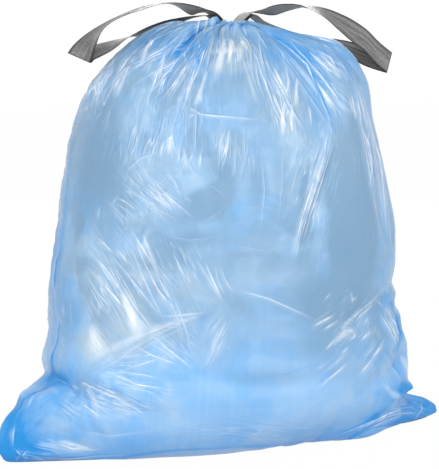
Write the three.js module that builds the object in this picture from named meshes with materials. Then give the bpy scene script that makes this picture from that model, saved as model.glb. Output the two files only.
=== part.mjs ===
// Filled drawstring bin bag, drawn shut and standing on its base.
// Millimetres, +Z up, bottom seal along X, front towards -Y, floor at z = 0.
import * as THREE from "three";

// Film bag
const leftReach = 226;
const rightReach = 244;
const frontReach = 144;
const backReach = 147;
const mouthHeight = 505;
const crownDepth = 123;
const mouthOffset = 12;
const mouthDepth = 21;
const mouthHalfLength = 23;
const mouthHalfWidth = 19;
const leftEarReach = 283;
const leftEarHeight = 98;
const rightEarReach = 310;
const rightEarHeight = 44;
const pleatCount = 22;
const facetsPerPleat = 5;
const pleatDepth = 7;
const tuftHeight = 7;

// Draw tape
const tapeWidth = 28;
const tapeThickness = 0.8;
const seatClearance = 0.3;
const leftWeldReach = 175;
const rightWeldReach = 235;
const leftWeldDrop = 43;
const rightWeldDrop = 52;
const loopRise = 18;

const crownFoot = mouthHeight - crownDepth;
const mouthFloor = mouthHeight - mouthDepth;

// The body's guide lines: share of the reach, share of the height up to the crown's foot.
const leftBody = [[0.73, 0], [0.915, 0.03], [0.98, 0.115], [0.99, 0.235], [0.94, 0.365], [0.908, 0.52], [0.865, 0.68], [0.825, 0.85]];
const rightBody = [[0.72, 0], [0.88, 0.03], [0.975, 0.12], [1, 0.235], [0.945, 0.37], [0.915, 0.51], [0.91, 0.67], [0.845, 0.85]];
const frontBody = [[0.24, 0], [0.7, 0.03], [0.9, 0.11], [0.97, 0.235], [0.993, 0.38], [1, 0.535], [0.98, 0.695], [0.94, 0.85]];
const backBody = [[0.54, 0], [0.81, 0.03], [0.94, 0.115], [0.985, 0.235], [1, 0.38], [1, 0.535], [0.98, 0.695], [0.94, 0.85]];

// The crown's guide lines: share of the reach, drop below the mouth.
const leftCrown = [[0.775, 123], [0.675, 71], [0.48, 24], [0.265, 0]];
const rightCrown = [[0.795, 117], [0.78, 65], [0.66, 27], [0.39, 11]];
const frontCrown = [[0.85, 125], [0.68, 73], [0.46, 33], [0.25, 9]];
const backCrown = [[0.865, 123], [0.715, 73], [0.49, 33], [0.285, 11]];

// Folds pressed into the body: angle and height of both ends, half width, depth outwards.
// Angles run from the right ear (0) over the front (90) to the left ear (180) and the back (270).
const bodyFolds = [
  [198, 102, 160, 92, 13, -8],
  [160, 270, 118, 132, 13, -5],
  [148, 218, 106, 108, 12, -4],
  [172, 226, 138, 116, 12, -4],
  [136, 262, 100, 158, 11, 3.5],
  [164, 92, 120, 62, 13, -5],
  [114, 104, 66, 86, 13, -4],
  [12, 196, 60, 170, 14, -7],
  [34, 142, 70, 166, 12, -4],
  [32, 98, 60, 76, 13, -7],
  [72, 334, 90, 226, 13, -4],
  [126, 350, 142, 250, 13, -4],
  [24, 344, 34, 240, 12, -4],
  [206, 304, 244, 150, 14, -5],
  [228, 340, 268, 206, 13, -5],
  [300, 334, 262, 168, 14, -5],
  [336, 284, 300, 120, 14, -5],
  [214, 132, 256, 88, 14, -5],
  [344, 132, 290, 84, 14, -5],
];

// Places where the base spreads over the floor: angle, half angle, how far.
const baseSpreads = [[44, 20, 52], [14, 15, 24], [158, 18, 32]];

// Pleats that run furthest down from the mouth: angle, station where they fade, times as deep.
const deepPleats = [[131, 6.6, 1.9], [48, 6.4, 1.8], [88, 7.6, 1.2], [168, 7.2, 1.4], [12, 7.4, 1.4], [228, 6.8, 1.7], [300, 6.9, 1.7]];

const filmMaterial = new THREE.MeshStandardMaterial({ color: 0x9cc6ea, roughness: 0.28, metalness: 0 });
const tapeMaterial = new THREE.MeshStandardMaterial({ color: 0x76787b, roughness: 0.45, metalness: 0 });

// A guide line in the plane of one side, from the base's edge over the crown and down into the mouth.
function guide(direction, reach, body, crown, centre, mouthReach) {
  const points = body.map(([share, height]) => [share * reach, height * crownFoot]);
  points.push(...crown.map(([share, drop]) => [share * reach, mouthHeight - drop]));
  points.push([centre + mouthReach + 14, mouthHeight - 1.5]);
  points.push([centre + mouthReach, mouthHeight - 1]);
  points.push([centre + mouthReach - 3, mouthHeight - mouthDepth / 2]);
  points.push([centre + mouthReach - 2, mouthFloor]);
  const spots = points.map(([out, height]) => direction.clone().multiplyScalar(out).setZ(height));
  return new THREE.CatmullRomCurve3(spots, false, "centripetal");
}

const guides = {
  right: guide(new THREE.Vector3(1, 0, 0), rightReach, rightBody, rightCrown, mouthOffset, mouthHalfLength),
  left: guide(new THREE.Vector3(-1, 0, 0), leftReach, leftBody, leftCrown, -mouthOffset, mouthHalfLength),
  front: guide(new THREE.Vector3(0, -1, 0), frontReach, frontBody, frontCrown, 0, mouthHalfWidth),
  back: guide(new THREE.Vector3(0, 1, 0), backReach, backBody, backCrown, 0, mouthHalfWidth),
};
const stationCount = guides.left.points.length - 1;
const crownStation = leftBody.length;
const rimStation = stationCount - 2;

// How far out a corner of the sealed bottom reaches at a height, or 0 above the corner.
function earReach(height, reach, earHeight) {
  const share = height / earHeight;
  return share >= 1 ? 0 : reach - (reach - 0.8 * rightReach) * share ** 2.6 - 14 * Math.exp(-share * 12);
}

function ear(angle, height) {
  const fromLeft = Math.abs(angle - 180);
  const fromRight = Math.min(angle, 360 - angle);
  if (fromLeft < 90) {
    return { out: -earReach(height, leftEarReach, leftEarHeight), hold: Math.exp(-((fromLeft / 15) ** 2)) };
  }
  return { out: earReach(height, rightEarReach, rightEarHeight), hold: Math.exp(-((fromRight / 21) ** 2)) };
}

// A point of the film before pleats and folds.
function smoothPoint(angle, station) {
  const turn = THREE.MathUtils.degToRad(angle);
  const along = Math.cos(turn);
  const across = -Math.sin(turn);
  const spot = (line) => line.getPoint(station / stationCount);
  const right = spot(guides.right);
  const left = spot(guides.left);
  const front = spot(guides.front);
  const back = spot(guides.back);
  const squareness = THREE.MathUtils.lerp(0.86, 1, THREE.MathUtils.smoothstep(station, crownStation, rimStation));
  const x = (right.x + left.x) / 2 + ((right.x - left.x) / 2) * Math.sign(along) * Math.abs(along) ** squareness;
  const y = (back.y + front.y) / 2 + ((back.y - front.y) / 2) * Math.sign(across) * Math.abs(across) ** squareness;
  const sideHeight = along > 0 ? right.z : left.z;
  const faceHeight = across > 0 ? back.z : front.z;
  const point = new THREE.Vector3(x, y, sideHeight * along ** 2 + faceHeight * across ** 2);
  const { out, hold } = ear(angle, point.z);
  if (station < crownStation && Math.abs(out) > Math.abs(point.x)) {
    point.x = THREE.MathUtils.lerp(point.x, out, hold);
    point.y *= 1 - 0.5 * hold;
  }
  for (const [spreadAngle, halfAngle, reach] of baseSpreads) {
    const turnAway = (angle - spreadAngle) / halfAngle;
    point.y -= reach * Math.exp(-(turnAway ** 2) - point.z / 12);
  }
  return point;
}

// Pleat borders, unevenly spread round the bag.
const pleatBorders = [0];
for (let index = 0; index < pleatCount; index += 1) {
  pleatBorders.push(pleatBorders[index] + 1 + 0.32 * Math.sin(index * index * 1.7 + 0.6));
}
const borderScale = 360 / pleatBorders[pleatCount];
const borders = pleatBorders.map((border) => border * borderScale);

// Depth of the valley at one pleat border.
function valleyDepth(index, station) {
  const angle = borders[index % pleatCount];
  let fade = 8.4 + 0.9 * Math.sin(index * 2.3);
  let times = 1 + 0.25 * Math.sin(index * 4.1);
  for (const [deepAngle, deepFade, deepTimes] of deepPleats) {
    if (Math.abs(deepAngle - angle) < 180 / pleatCount) {
      fade = deepFade;
      times = deepTimes;
    }
  }
  const grow = THREE.MathUtils.smoothstep(station, fade, 11.2);
  const ease = 1 - 0.55 * THREE.MathUtils.smoothstep(station, 11.5, rimStation);
  const end = 1 - THREE.MathUtils.smoothstep(station, rimStation, stationCount);
  return pleatDepth * times * grow * ease * end;
}

function pleatOffset(pleat, share, station) {
  const near = valleyDepth(pleat, station) * (1 - share) ** 2.4;
  const far = valleyDepth(pleat + 1, station) * share ** 2.4;
  return -near - far;
}

// Folds pressed into the film, as soft grooves and ridges that fade out at both ends.
const foldSpan = 3.4;
function foldOffset(angle, height) {
  let offset = 0;
  for (const [fromAngle, fromHeight, toAngle, toHeight, width, depth] of bodyFolds) {
    const line = new THREE.Vector2((toAngle - fromAngle) * foldSpan, toHeight - fromHeight);
    const spot = new THREE.Vector2((angle - fromAngle) * foldSpan, height - fromHeight);
    const share = THREE.MathUtils.clamp(spot.dot(line) / line.lengthSq(), 0, 1);
    const gap = spot.distanceTo(line.clone().multiplyScalar(share));
    offset += depth * Math.exp(-((gap / width) ** 2)) * Math.sin(Math.PI * (0.12 + 0.76 * share));
  }
  return offset;
}

// A lump of film pulled up over the tape, left of the mouth at the front.
function tuftLift(angle, station) {
  const turn = (angle - 142) / 19;
  const climb = (station - 12.2) / 0.75;
  return tuftHeight * Math.exp(-(turn ** 2) - climb ** 2);
}

function filmPoint(pleat, share, station) {
  const angle = THREE.MathUtils.lerp(borders[pleat], borders[pleat + 1], share) % 360;
  const point = smoothPoint(angle, station);
  const step = 0.02;
  const low = Math.max(station - step, 0);
  const high = Math.min(station + step, stationCount);
  const upward = smoothPoint(angle, high).sub(smoothPoint(angle, low));
  const around = smoothPoint((angle + 1) % 360, station).sub(smoothPoint((angle + 359) % 360, station));
  const normal = upward.cross(around).normalize();
  point.addScaledVector(normal, pleatOffset(pleat, share, station) + foldOffset(angle, point.z) * (station > 0));
  point.z = Math.max(point.z + tuftLift(angle, station), 0);
  return point;
}

// Ring stations: close together at the base and at the mouth, wider on the body.
function ringStations() {
  const counts = [3, 3, 4, 4, 4, 4, 4, 4, 3, 3, 3, 3, 2, 1, 1];
  const stations = [0];
  for (let station = 0; station < stationCount; station += 1) {
    for (let ring = 1; ring <= counts[station]; ring += 1) {
      stations.push(station + ring / counts[station]);
    }
  }
  return stations;
}

// A closed skin over equal rings of points, with a flat strip across the first and the last ring.
function closedLoft(rings) {
  const count = rings[0].length;
  const positions = rings.flat().flatMap((point) => point.toArray());
  const triangles = [];
  for (let ring = 0; ring + 1 < rings.length; ring += 1) {
    for (let spot = 0; spot < count; spot += 1) {
      const near = ring * count + spot;
      const next = ring * count + ((spot + 1) % count);
      const falling = rings[ring][spot].distanceTo(rings[ring + 1][(spot + 1) % count]);
      const rising = rings[ring][(spot + 1) % count].distanceTo(rings[ring + 1][spot]);
      if (falling < rising) {
        triangles.push(near, near + count, next + count, next, near, next + count);
      } else {
        triangles.push(near, near + count, next, next, near + count, next + count);
      }
    }
  }
  const top = (rings.length - 1) * count;
  for (let spot = 0; spot < count / 2; spot += 1) {
    const next = spot + 1;
    const mirror = (count - spot) % count;
    const mirrorNext = count - spot - 1;
    if (mirror !== spot) {
      triangles.push(spot, next, mirror, top + spot, top + mirror, top + next);
    }
    if (mirrorNext !== next) {
      triangles.push(next, mirrorNext, mirror, top + next, top + mirror, top + mirrorNext);
    }
  }
  const geometry = new THREE.BufferGeometry();
  geometry.setAttribute("position", new THREE.Float32BufferAttribute(positions, 3));
  geometry.setIndex(triangles);
  geometry.computeVertexNormals();
  return geometry;
}

function filmBag() {
  const rings = ringStations().map((station) => {
    const ring = [];
    for (let pleat = 0; pleat < pleatCount; pleat += 1) {
      for (let facet = 0; facet < facetsPerPleat; facet += 1) {
        ring.push(filmPoint(pleat, facet / facetsPerPleat, station));
      }
    }
    return ring;
  });
  return new THREE.Mesh(closedLoft(rings), filmMaterial);
}

// A flat strip of tape swept along its centre line; "across" is the direction of its width at each point.
function tapeStrip(route) {
  const line = new THREE.CatmullRomCurve3(route.map(([spot]) => spot), false, "centripetal");
  const widths = new THREE.CatmullRomCurve3(route.map(([, across]) => across.normalize()), false, "catmullrom");
  const steps = (route.length - 1) * 4;
  const rings = [];
  for (let step = 0; step <= steps; step += 1) {
    const centre = line.getPoint(step / steps);
    const along = line.getTangent(step / steps);
    const across = widths.getPoint(step / steps).normalize();
    const face = new THREE.Vector3().crossVectors(along, across).normalize();
    const corner = (side, skin) => centre.clone()
      .addScaledVector(across, (side * tapeWidth) / 2)
      .addScaledVector(face, (skin * tapeThickness) / 2);
    rings.push([corner(-1, -1), corner(-1, 1), corner(1, 1), corner(1, -1)]);
  }
  return new THREE.Mesh(closedLoft(rings), tapeMaterial);
}

const towards = (x, y, z) => new THREE.Vector3(x, y, z);

// The two welded ends: where the strips stop, and the direction of the weld's edge.
const leftWeld = new THREE.Vector3(-leftWeldReach, 5, mouthHeight - leftWeldDrop);
const rightWeld = new THREE.Vector3(rightWeldReach, 3, mouthHeight - rightWeldDrop);
const leftWeldEdge = [0.8, -0.45, -0.4];
const rightWeldEdge = [-0.4, -0.25, -0.88];
const stack = tapeThickness + seatClearance;

// A point of a loop: share of the way from the mouth to the weld, depth, height above the mouth.
function loopPoint(weld, share, depth, rise, across) {
  return [new THREE.Vector3(THREE.MathUtils.lerp(mouthOffset, weld.x, share), depth, mouthHeight + rise), towards(...across)];
}

// The dip through the mouth, lying flat; "lift" is the height over the mouth's floor.
function mouthDip(lift) {
  const low = mouthFloor + lift;
  const spot = (x, z) => [new THREE.Vector3(mouthOffset + x, 0, z), towards(0, -1, 0)];
  return [spot(lift - 11, low + 11), spot(-5, low + 1), spot(0, low), spot(5, low + 1), spot(11 - lift, low + 11)];
}

const backLift = seatClearance + tapeThickness / 2;
const frontLift = backLift + 2 * stack;

function frontTape() {
  return tapeStrip([
    [leftWeld.clone(), towards(...leftWeldEdge)],
    loopPoint(leftWeld, 0.95, 5, -28, [0.4, -0.85, -0.3]),
    loopPoint(leftWeld, 0.855, 2, -9, [-0.2, -0.95, -0.15]),
    loopPoint(leftWeld, 0.73, 0, 4, [-0.3, -0.95, -0.06]),
    loopPoint(leftWeld, 0.59, -2, loopRise - 5, [-0.33, -0.93, -0.12]),
    loopPoint(leftWeld, 0.46, -3, loopRise + 1, [-0.38, -0.92, -0.04]),
    loopPoint(leftWeld, 0.375, -4, loopRise, [-0.4, -0.9, 0.12]),
    loopPoint(leftWeld, 0.27, -4, loopRise - 6, [-0.32, -0.85, 0.4]),
    loopPoint(leftWeld, 0.19, -3, 11, [-0.15, -0.97, 0.15]),
    loopPoint(leftWeld, 0.12, 0, 8.5, [0, -1, 0]),
    ...mouthDip(frontLift),
    loopPoint(rightWeld, 0.12, 0, 10, [0, -1, 0]),
    loopPoint(rightWeld, 0.18, -2, 11, [-0.2, -0.95, 0.15]),
    loopPoint(rightWeld, 0.26, -4, 12, [-0.36, -0.84, 0.42]),
    loopPoint(rightWeld, 0.34, -4, loopRise - 3, [-0.4, -0.86, 0.3]),
    loopPoint(rightWeld, 0.42, -4, loopRise - 2, [-0.42, -0.9, 0.1]),
    loopPoint(rightWeld, 0.495, -3, loopRise - 4, [-0.42, -0.88, -0.2]),
    loopPoint(rightWeld, 0.58, -1, 8, [-0.4, -0.8, -0.45]),
    loopPoint(rightWeld, 0.66, 0, -1, [-0.35, -0.6, -0.7]),
    loopPoint(rightWeld, 0.75, 1, -12, [-0.32, -0.35, -0.88]),
    loopPoint(rightWeld, 0.84, 2, -24, [-0.32, -0.28, -0.9]),
    loopPoint(rightWeld, 0.92, 3, -39, [-0.36, -0.25, -0.9]),
    [rightWeld.clone(), towards(...rightWeldEdge)],
  ]);
}

function backTape() {
  const leftEnd = leftWeld.clone().add(towards(0.4, 0.9, -0.2).setLength(stack));
  const rightEnd = rightWeld.clone().add(towards(-0.1, 0.97, -0.2).setLength(stack));
  return tapeStrip([
    [leftEnd, towards(...leftWeldEdge)],
    loopPoint(leftWeld, 0.92, 11, -38, [0.1, -0.85, -0.5]),
    loopPoint(leftWeld, 0.75, 20, -29, [-0.35, -0.85, -0.4]),
    loopPoint(leftWeld, 0.6, 30, -19, [-0.36, -0.88, 0.05]),
    loopPoint(leftWeld, 0.42, 38, -12, [-0.36, -0.8, 0.48]),
    loopPoint(leftWeld, 0.31, 28, -4, [-0.3, -0.85, 0.35]),
    loopPoint(leftWeld, 0.2, 9, 4, [-0.1, -0.98, 0.05]),
    loopPoint(leftWeld, 0.12, 1, 4.5, [0, -1, 0]),
    ...mouthDip(backLift),
    loopPoint(rightWeld, 0.12, 1, 6.5, [0, -1, 0]),
    loopPoint(rightWeld, 0.23, 18, -1, [-0.1, -0.98, 0.05]),
    loopPoint(rightWeld, 0.34, 34, -8, [-0.3, -0.93, 0.15]),
    loopPoint(rightWeld, 0.48, 42, -15, [-0.36, -0.9, 0.05]),
    loopPoint(rightWeld, 0.64, 44, -23, [-0.4, -0.88, -0.15]),
    loopPoint(rightWeld, 0.78, 36, -32, [-0.45, -0.7, -0.5]),
    loopPoint(rightWeld, 0.89, 20, -44, [-0.42, -0.4, -0.82]),
    [rightEnd, towards(...rightWeldEdge)],
  ]);
}

const bag = new THREE.Group();
const pieces = { film_bag: filmBag(), front_tape: frontTape(), back_tape: backTape() };
for (const [name, mesh] of Object.entries(pieces)) {
  mesh.name = name;
  bag.add(mesh);
}

// The origin lies under the middle of the bag's bounding box, on the floor.
const bounds = new THREE.Box3().setFromObject(bag);
const middle = bounds.getCenter(new THREE.Vector3());
bag.position.set(-middle.x, -middle.y, -bounds.min.z);

export default bag;
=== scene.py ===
import math
from functools import reduce

import bpy
import numpy as np
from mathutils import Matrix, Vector


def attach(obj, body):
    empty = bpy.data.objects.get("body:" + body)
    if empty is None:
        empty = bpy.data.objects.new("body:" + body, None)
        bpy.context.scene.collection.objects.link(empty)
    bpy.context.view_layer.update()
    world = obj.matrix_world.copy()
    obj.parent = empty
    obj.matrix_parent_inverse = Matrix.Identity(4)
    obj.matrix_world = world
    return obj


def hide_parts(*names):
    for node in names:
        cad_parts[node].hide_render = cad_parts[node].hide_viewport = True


# Filled bin bag: thin pale blue film drawn shut over its contents, with a grey draw tape.
# Shapes are worked out in millimetres from the same named sizes as the solids, then made in metres.

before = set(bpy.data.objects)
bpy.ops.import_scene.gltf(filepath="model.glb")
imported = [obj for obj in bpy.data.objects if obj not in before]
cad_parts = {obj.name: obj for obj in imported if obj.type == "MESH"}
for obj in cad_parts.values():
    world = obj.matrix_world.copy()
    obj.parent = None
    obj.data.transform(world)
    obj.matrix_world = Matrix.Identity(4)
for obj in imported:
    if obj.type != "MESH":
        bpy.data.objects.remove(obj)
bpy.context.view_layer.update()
print("frame loaded:", ", ".join(sorted(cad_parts)))

viewpoint = {
    "azimuth": -25.0,
    "elevation": 7.0,
    "distance": 2000.0,
    "target": (-13.2, -1.5, 250.0),
    "lens": 127.96,  # for a 36 mm sensor on the picture's long side
    "picture": (439, 469),
}

# The solids stand with the middle of their box over the origin, so everything moves by this much.
boxMiddle = np.array([13.2, 1.5, 0.0])


def viewAxes():
    turn = math.radians(viewpoint["azimuth"])
    lift = math.radians(viewpoint["elevation"])
    back = np.array([math.sin(turn) * math.cos(lift), -math.cos(turn) * math.cos(lift), math.sin(lift)])
    right = np.array([math.cos(turn), math.sin(turn), 0.0])
    return right, np.cross(back, right), back


def addCamera():
    data = bpy.data.cameras.new("photoCamera")
    data.lens = viewpoint["lens"]
    data.sensor_width = 36
    data.clip_start, data.clip_end = 0.05, 50
    camera = bpy.data.objects.new("photoCamera", data)
    back = viewAxes()[2]
    camera.location = (np.array(viewpoint["target"]) + viewpoint["distance"] * back) / 1000
    camera.rotation_mode = "QUATERNION"
    camera.rotation_quaternion = Vector(-back).to_track_quat("-Z", "Y")
    bpy.context.collection.objects.link(camera)
    bpy.context.scene.camera = camera


def picturePlace(points):
    # where each point lands in the photograph's frame, in pixels
    right, up, back = viewAxes()
    away = points - np.array(viewpoint["target"])
    wide, high = viewpoint["picture"]
    scale = viewpoint["lens"] / 36 * high / (viewpoint["distance"] - away @ back)
    return wide / 2 + scale * (away @ right), high / 2 - scale * (away @ up)


def smoothStep(value, low, high):
    share = np.clip((value - low) / (high - low), 0, 1)
    return share * share * (3 - 2 * share)


def lerp(near, far, share):
    return near + (far - near) * share


def rootLength(step):
    return np.maximum(np.linalg.norm(step, axis=-1, keepdims=True), 1e-6) ** 0.5


def splineThrough(points, places, even=False):
    # a curve through the points; places run from 0 to the last point's number
    points = np.asarray(points, float)
    first = np.clip(np.floor(places).astype(int), 0, len(points) - 2)
    w = (places - first)[..., None]
    ends = np.vstack([2 * points[0] - points[1], points, 2 * points[-1] - points[-2]])
    a, b, c, d = (ends[first + k] for k in range(4))
    if even:
        leave, arrive = (c - a) / 2, (d - b) / 2
    else:
        ab, bc, cd = rootLength(b - a), rootLength(c - b), rootLength(d - c)
        leave = ((b - a) / ab - (c - a) / (ab + bc) + (c - b) / bc) * bc
        arrive = ((c - b) / bc - (d - b) / (bc + cd) + (d - c) / cd) * bc
    return b + leave * w + (3 * (c - b) - 2 * leave - arrive) * w**2 + (2 * (b - c) + leave + arrive) * w**3


def bell(x, y=0):
    return np.exp(-(x**2) - y**2)


def arch(share, low, rise, power=1):
    # rises and falls again along a line, low at its ends
    return np.sin(np.pi * np.clip(low + rise * share, 0, 1)) ** power


def turnFrom(angle, middle):
    return (angle - middle + 180) % 360 - 180


def nearestOn(x, y, line):
    # for points given from a straight line's start: share along it, and offsets from its nearest point
    share = np.clip((x * line[0] + y * line[1]) / (line @ line), 0, 1)
    return share, x - share * line[0], y - share * line[1]


def ringNoise(across, up, cells, seed):
    # smooth random values from -1 to 1 that meet again after "cells" cells round the bag
    rows = int(np.max(up)) + 3
    values = np.random.default_rng(seed).uniform(-1, 1, (rows, cells))
    column, row = np.floor(across).astype(int), np.clip(np.floor(up).astype(int), 0, rows - 2)
    s, t = smoothStep(across - column, 0, 1), smoothStep(up - row, 0, 1)
    low = lerp(values[row, column % cells], values[row, (column + 1) % cells], s)
    high = lerp(values[row + 1, column % cells], values[row + 1, (column + 1) % cells], s)
    return lerp(low, high, t)


def skinNoise(angle, height, cells, tall, seed):
    # the same, with cells that are so many millimetres tall
    return ringNoise(angle / 360 * cells, height / tall, cells, seed)


def cellCentres(up, cells, random):
    return random.uniform(0.08, 0.92, (int(np.max(up)) + 4, cells, 2))


def nearbyCells(across, up, centres):
    # for the nine cells round each point: distance to the cell's centre, its row and its column
    rows, cells = centres.shape[:2]
    column, row = np.floor(across).astype(int), np.floor(up).astype(int)
    for stepUp in (-1, 0, 1):
        for stepAcross in (-1, 0, 1):
            r, c = np.clip(row + stepUp + 1, 0, rows - 1), (column + stepAcross) % cells
            x, y = column + stepAcross + centres[r, c, 0], row + stepUp + centres[r, c, 1]
            yield np.hypot(x - across, y - up), r, c


def creaseCells(across, up, cells, seed):
    # distance to the borders of uneven cells, 0 on a border and 0.5 at most: facets between creases
    nearest = second = np.full(across.shape, 9.0)
    for gap, _, _ in nearbyCells(across, up, cellCentres(up, cells, np.random.default_rng(seed))):
        second = np.minimum(second, np.maximum(nearest, gap))
        nearest = np.minimum(nearest, gap)
    return np.minimum(second - nearest, 0.5)


def patchTones(angle, height, cells, tall, seed, edge=26):
    # uneven patches of different tone, from -1 to 1, that run softly into one another
    across, up = angle / 360 * cells, height / tall
    random = np.random.default_rng(seed)
    centres = cellCentres(up, cells, random)
    tones = random.uniform(-1, 1, centres.shape[:2])
    total, weights = np.zeros(across.shape), np.zeros(across.shape)
    for gap, row, column in nearbyCells(across, up, centres):
        weight = np.exp(-edge * gap)
        total, weights = total + weight * tones[row, column], weights + weight
    return total / weights


# Values of the film bag: lengths in millimetres, angles in degrees.
filmShape = {
    "leftReach": 226, "rightReach": 244, "frontReach": 144, "backReach": 147,
    "mouthHeight": 505, "crownDepth": 123, "mouthOffset": 12, "mouthDepth": 21,
    "mouthHalfLength": 23, "mouthHalfWidth": 19,
    "leftEar": (283, 98), "rightEar": (310, 44),  # reach, height
    "earHalfAngles": (15, 21), "earFlatten": 0.5, "earFoot": 14,  # left, right; across; at the floor
    "squareness": 0.86,  # 1 is round
    "pleatCount": 22, "pleatDepth": 7, "pleatUneven": 0.32,
    "tuftHeight": 7, "tuftAngle": 142, "tuftHalfAngle": 19, "tuftStation": 12.2,
    # share of the reach outwards, share of the height up to the crown
    "leftBody": [
        (0.73, 0), (0.915, 0.03), (0.98, 0.115), (0.99, 0.235), (0.94, 0.365), (0.908, 0.52), (0.865, 0.68),
        (0.825, 0.85),
    ],
    "rightBody": [
        (0.72, 0), (0.88, 0.03), (0.975, 0.12), (1, 0.235), (0.945, 0.37), (0.915, 0.51), (0.91, 0.67),
        (0.845, 0.85),
    ],
    "frontBody": [
        (0.24, 0), (0.7, 0.03), (0.9, 0.11), (0.97, 0.235), (0.993, 0.38), (1, 0.535), (0.98, 0.695),
        (0.94, 0.85),
    ],
    "backBody": [
        (0.54, 0), (0.81, 0.03), (0.94, 0.115), (0.985, 0.235), (1, 0.38), (1, 0.535), (0.98, 0.695),
        (0.94, 0.85),
    ],
    # share of the reach outwards, drop below the mouth
    "leftCrown": [(0.775, 123), (0.675, 71), (0.48, 24), (0.265, 0)],
    "rightCrown": [(0.795, 117), (0.78, 65), (0.66, 27), (0.39, 11)],
    "frontCrown": [(0.85, 125), (0.68, 73), (0.46, 33), (0.25, 9)],
    "backCrown": [(0.865, 123), (0.715, 73), (0.49, 33), (0.285, 11)],
    # angle and height of both ends, width, depth outwards; 0 right ear, 90 front, 180 left ear
    "bodyFolds": [
        (198, 102, 160, 92, 13, -8), (160, 270, 118, 132, 13, -5), (148, 218, 106, 108, 12, -4),
        (172, 226, 138, 116, 12, -4), (136, 262, 100, 158, 11, 3.5), (164, 92, 120, 62, 13, -5),
        (114, 104, 66, 86, 13, -4), (12, 196, 60, 170, 14, -7), (34, 142, 70, 166, 12, -4),
        (32, 98, 60, 76, 13, -7), (72, 334, 90, 226, 13, -4), (126, 350, 142, 250, 13, -4),
        (24, 344, 34, 240, 12, -4), (206, 304, 244, 150, 14, -5), (228, 340, 268, 206, 13, -5),
        (300, 334, 262, 168, 14, -5), (336, 284, 300, 120, 14, -5), (214, 132, 256, 88, 14, -5),
        (344, 132, 290, 84, 14, -5),
    ],
    "foldTurn": 3.4,  # millimetres of film for each degree round the bag
    # angle, half angle, reach forwards
    "baseSpreads": [(44, 20, 52), (14, 15, 24), (158, 18, 32)],
    # angle, station where the pleat fades out, times the usual depth
    "deepPleats": [
        (131, 6.6, 1.9), (48, 6.4, 1.8), (88, 7.6, 1.2), (168, 7.2, 1.4), (12, 7.4, 1.4), (228, 6.8, 1.7),
        (300, 6.9, 1.7),
    ],
}
crownStation, rimStation, lastStation = 8, 13, 15

# Where the film draws in or swells a little at its sides: angle, height, half angle, half height, inwards.
sideHollows = [
    (196, 128, 28, 44, 6), (201, 89, 18, 8, 8), (188, 73.5, 16, 7.5, -8),
    (24, 160, 20, 9, 5), (24, 54, 13, 6.5, -12), (2, 29, 9, 4, 9),
]


def guideLine(side, centre, mouthReach):
    top, deep, reach = filmShape["mouthHeight"], filmShape["mouthDepth"], filmShape[side + "Reach"]
    foot = top - filmShape["crownDepth"]
    line = [(share * reach, height * foot) for share, height in filmShape[side + "Body"]]
    line += [(share * reach, top - drop) for share, drop in filmShape[side + "Crown"]]
    rim = centre + mouthReach
    return line + [(rim + 14, top - 1.5), (rim, top - 1), (rim - 3, top - deep / 2), (rim - 2, top - deep)]


guides = {
    "right": guideLine("right", filmShape["mouthOffset"], filmShape["mouthHalfLength"]),
    "left": guideLine("left", -filmShape["mouthOffset"], filmShape["mouthHalfLength"]),
    "front": guideLine("front", 0, filmShape["mouthHalfWidth"]),
    "back": guideLine("back", 0, filmShape["mouthHalfWidth"]),
}


def earReach(height, reach, earHeight):
    share = np.clip(height / earHeight, 0, 1)
    inner = 0.8 * filmShape["rightReach"]
    out = reach - (reach - inner) * share**2.6 - filmShape["earFoot"] * np.exp(-12 * share)
    return np.where(height >= earHeight, 0, out)


def smoothFilm(angle, station, ears=True):
    # the film before its pleats and folds, as points in millimetres
    turn = np.radians(angle)
    along, across = np.cos(turn), -np.sin(turn)
    right, left, front, back = (splineThrough(guides[side], station) for side in guides)
    power = lerp(filmShape["squareness"], 1, smoothStep(station, crownStation, rimStation))

    def between(low, high, way):
        return (high - low) / 2 + (high + low) / 2 * np.sign(way) * np.abs(way) ** power

    x, y = between(left[..., 0], right[..., 0], along), between(front[..., 0], back[..., 0], across)
    side = np.where(along > 0, right[..., 1], left[..., 1])
    face = np.where(across > 0, back[..., 1], front[..., 1])
    z = side * along**2 + face * across**2
    fromLeft, fromRight = np.abs(angle - 180), np.minimum(angle, 360 - angle)
    onLeft = fromLeft < 90
    out = np.where(onLeft, -earReach(z, *filmShape["leftEar"]), earReach(z, *filmShape["rightEar"]))
    leftHalf, rightHalf = filmShape["earHalfAngles"]
    hold = np.where(onLeft, bell(fromLeft / leftHalf), bell(fromRight / rightHalf))
    hold = np.where((station < crownStation) & (np.abs(out) > np.abs(x)) & ears, hold, 0)
    bodyX, x = x, lerp(x, out, hold)
    y = y * (1 - filmShape["earFlatten"] * hold * smoothStep(np.abs(out) - np.abs(bodyX), 0, 15))
    for spreadAngle, halfAngle, reach in filmShape["baseSpreads"] if ears else ():
        y = y - reach * bell((angle - spreadAngle) / halfAngle) * np.exp(-z / 12)
    return np.stack([x, y, z], -1)


def pleatBorders():
    # where each pleat begins, in degrees: uneven in a way that comes out the same each time
    uneven = filmShape["pleatUneven"]
    steps = [1 + uneven * math.sin(index * index * 1.7 + 0.6) for index in range(filmShape["pleatCount"])]
    return np.concatenate([[0], np.cumsum(steps)]) * 360 / sum(steps)


def valleyDepth(index, station):
    count = filmShape["pleatCount"]
    angle = pleatBorders()[index % count]
    fade = 8.4 + 0.9 * np.sin(index * 2.3)
    times = 1 + 0.25 * np.sin(index * 4.1)
    for deepAngle, deepFade, deepTimes in filmShape["deepPleats"]:
        close = np.abs(deepAngle - angle) < 180 / count
        fade, times = np.where(close, deepFade, fade), np.where(close, deepTimes, times)
    grow = smoothStep(station, fade, 11.2) * (1 - 0.55 * smoothStep(station, 11.5, rimStation))
    return filmShape["pleatDepth"] * times * grow * (1 - smoothStep(station, rimStation, lastStation))


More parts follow.
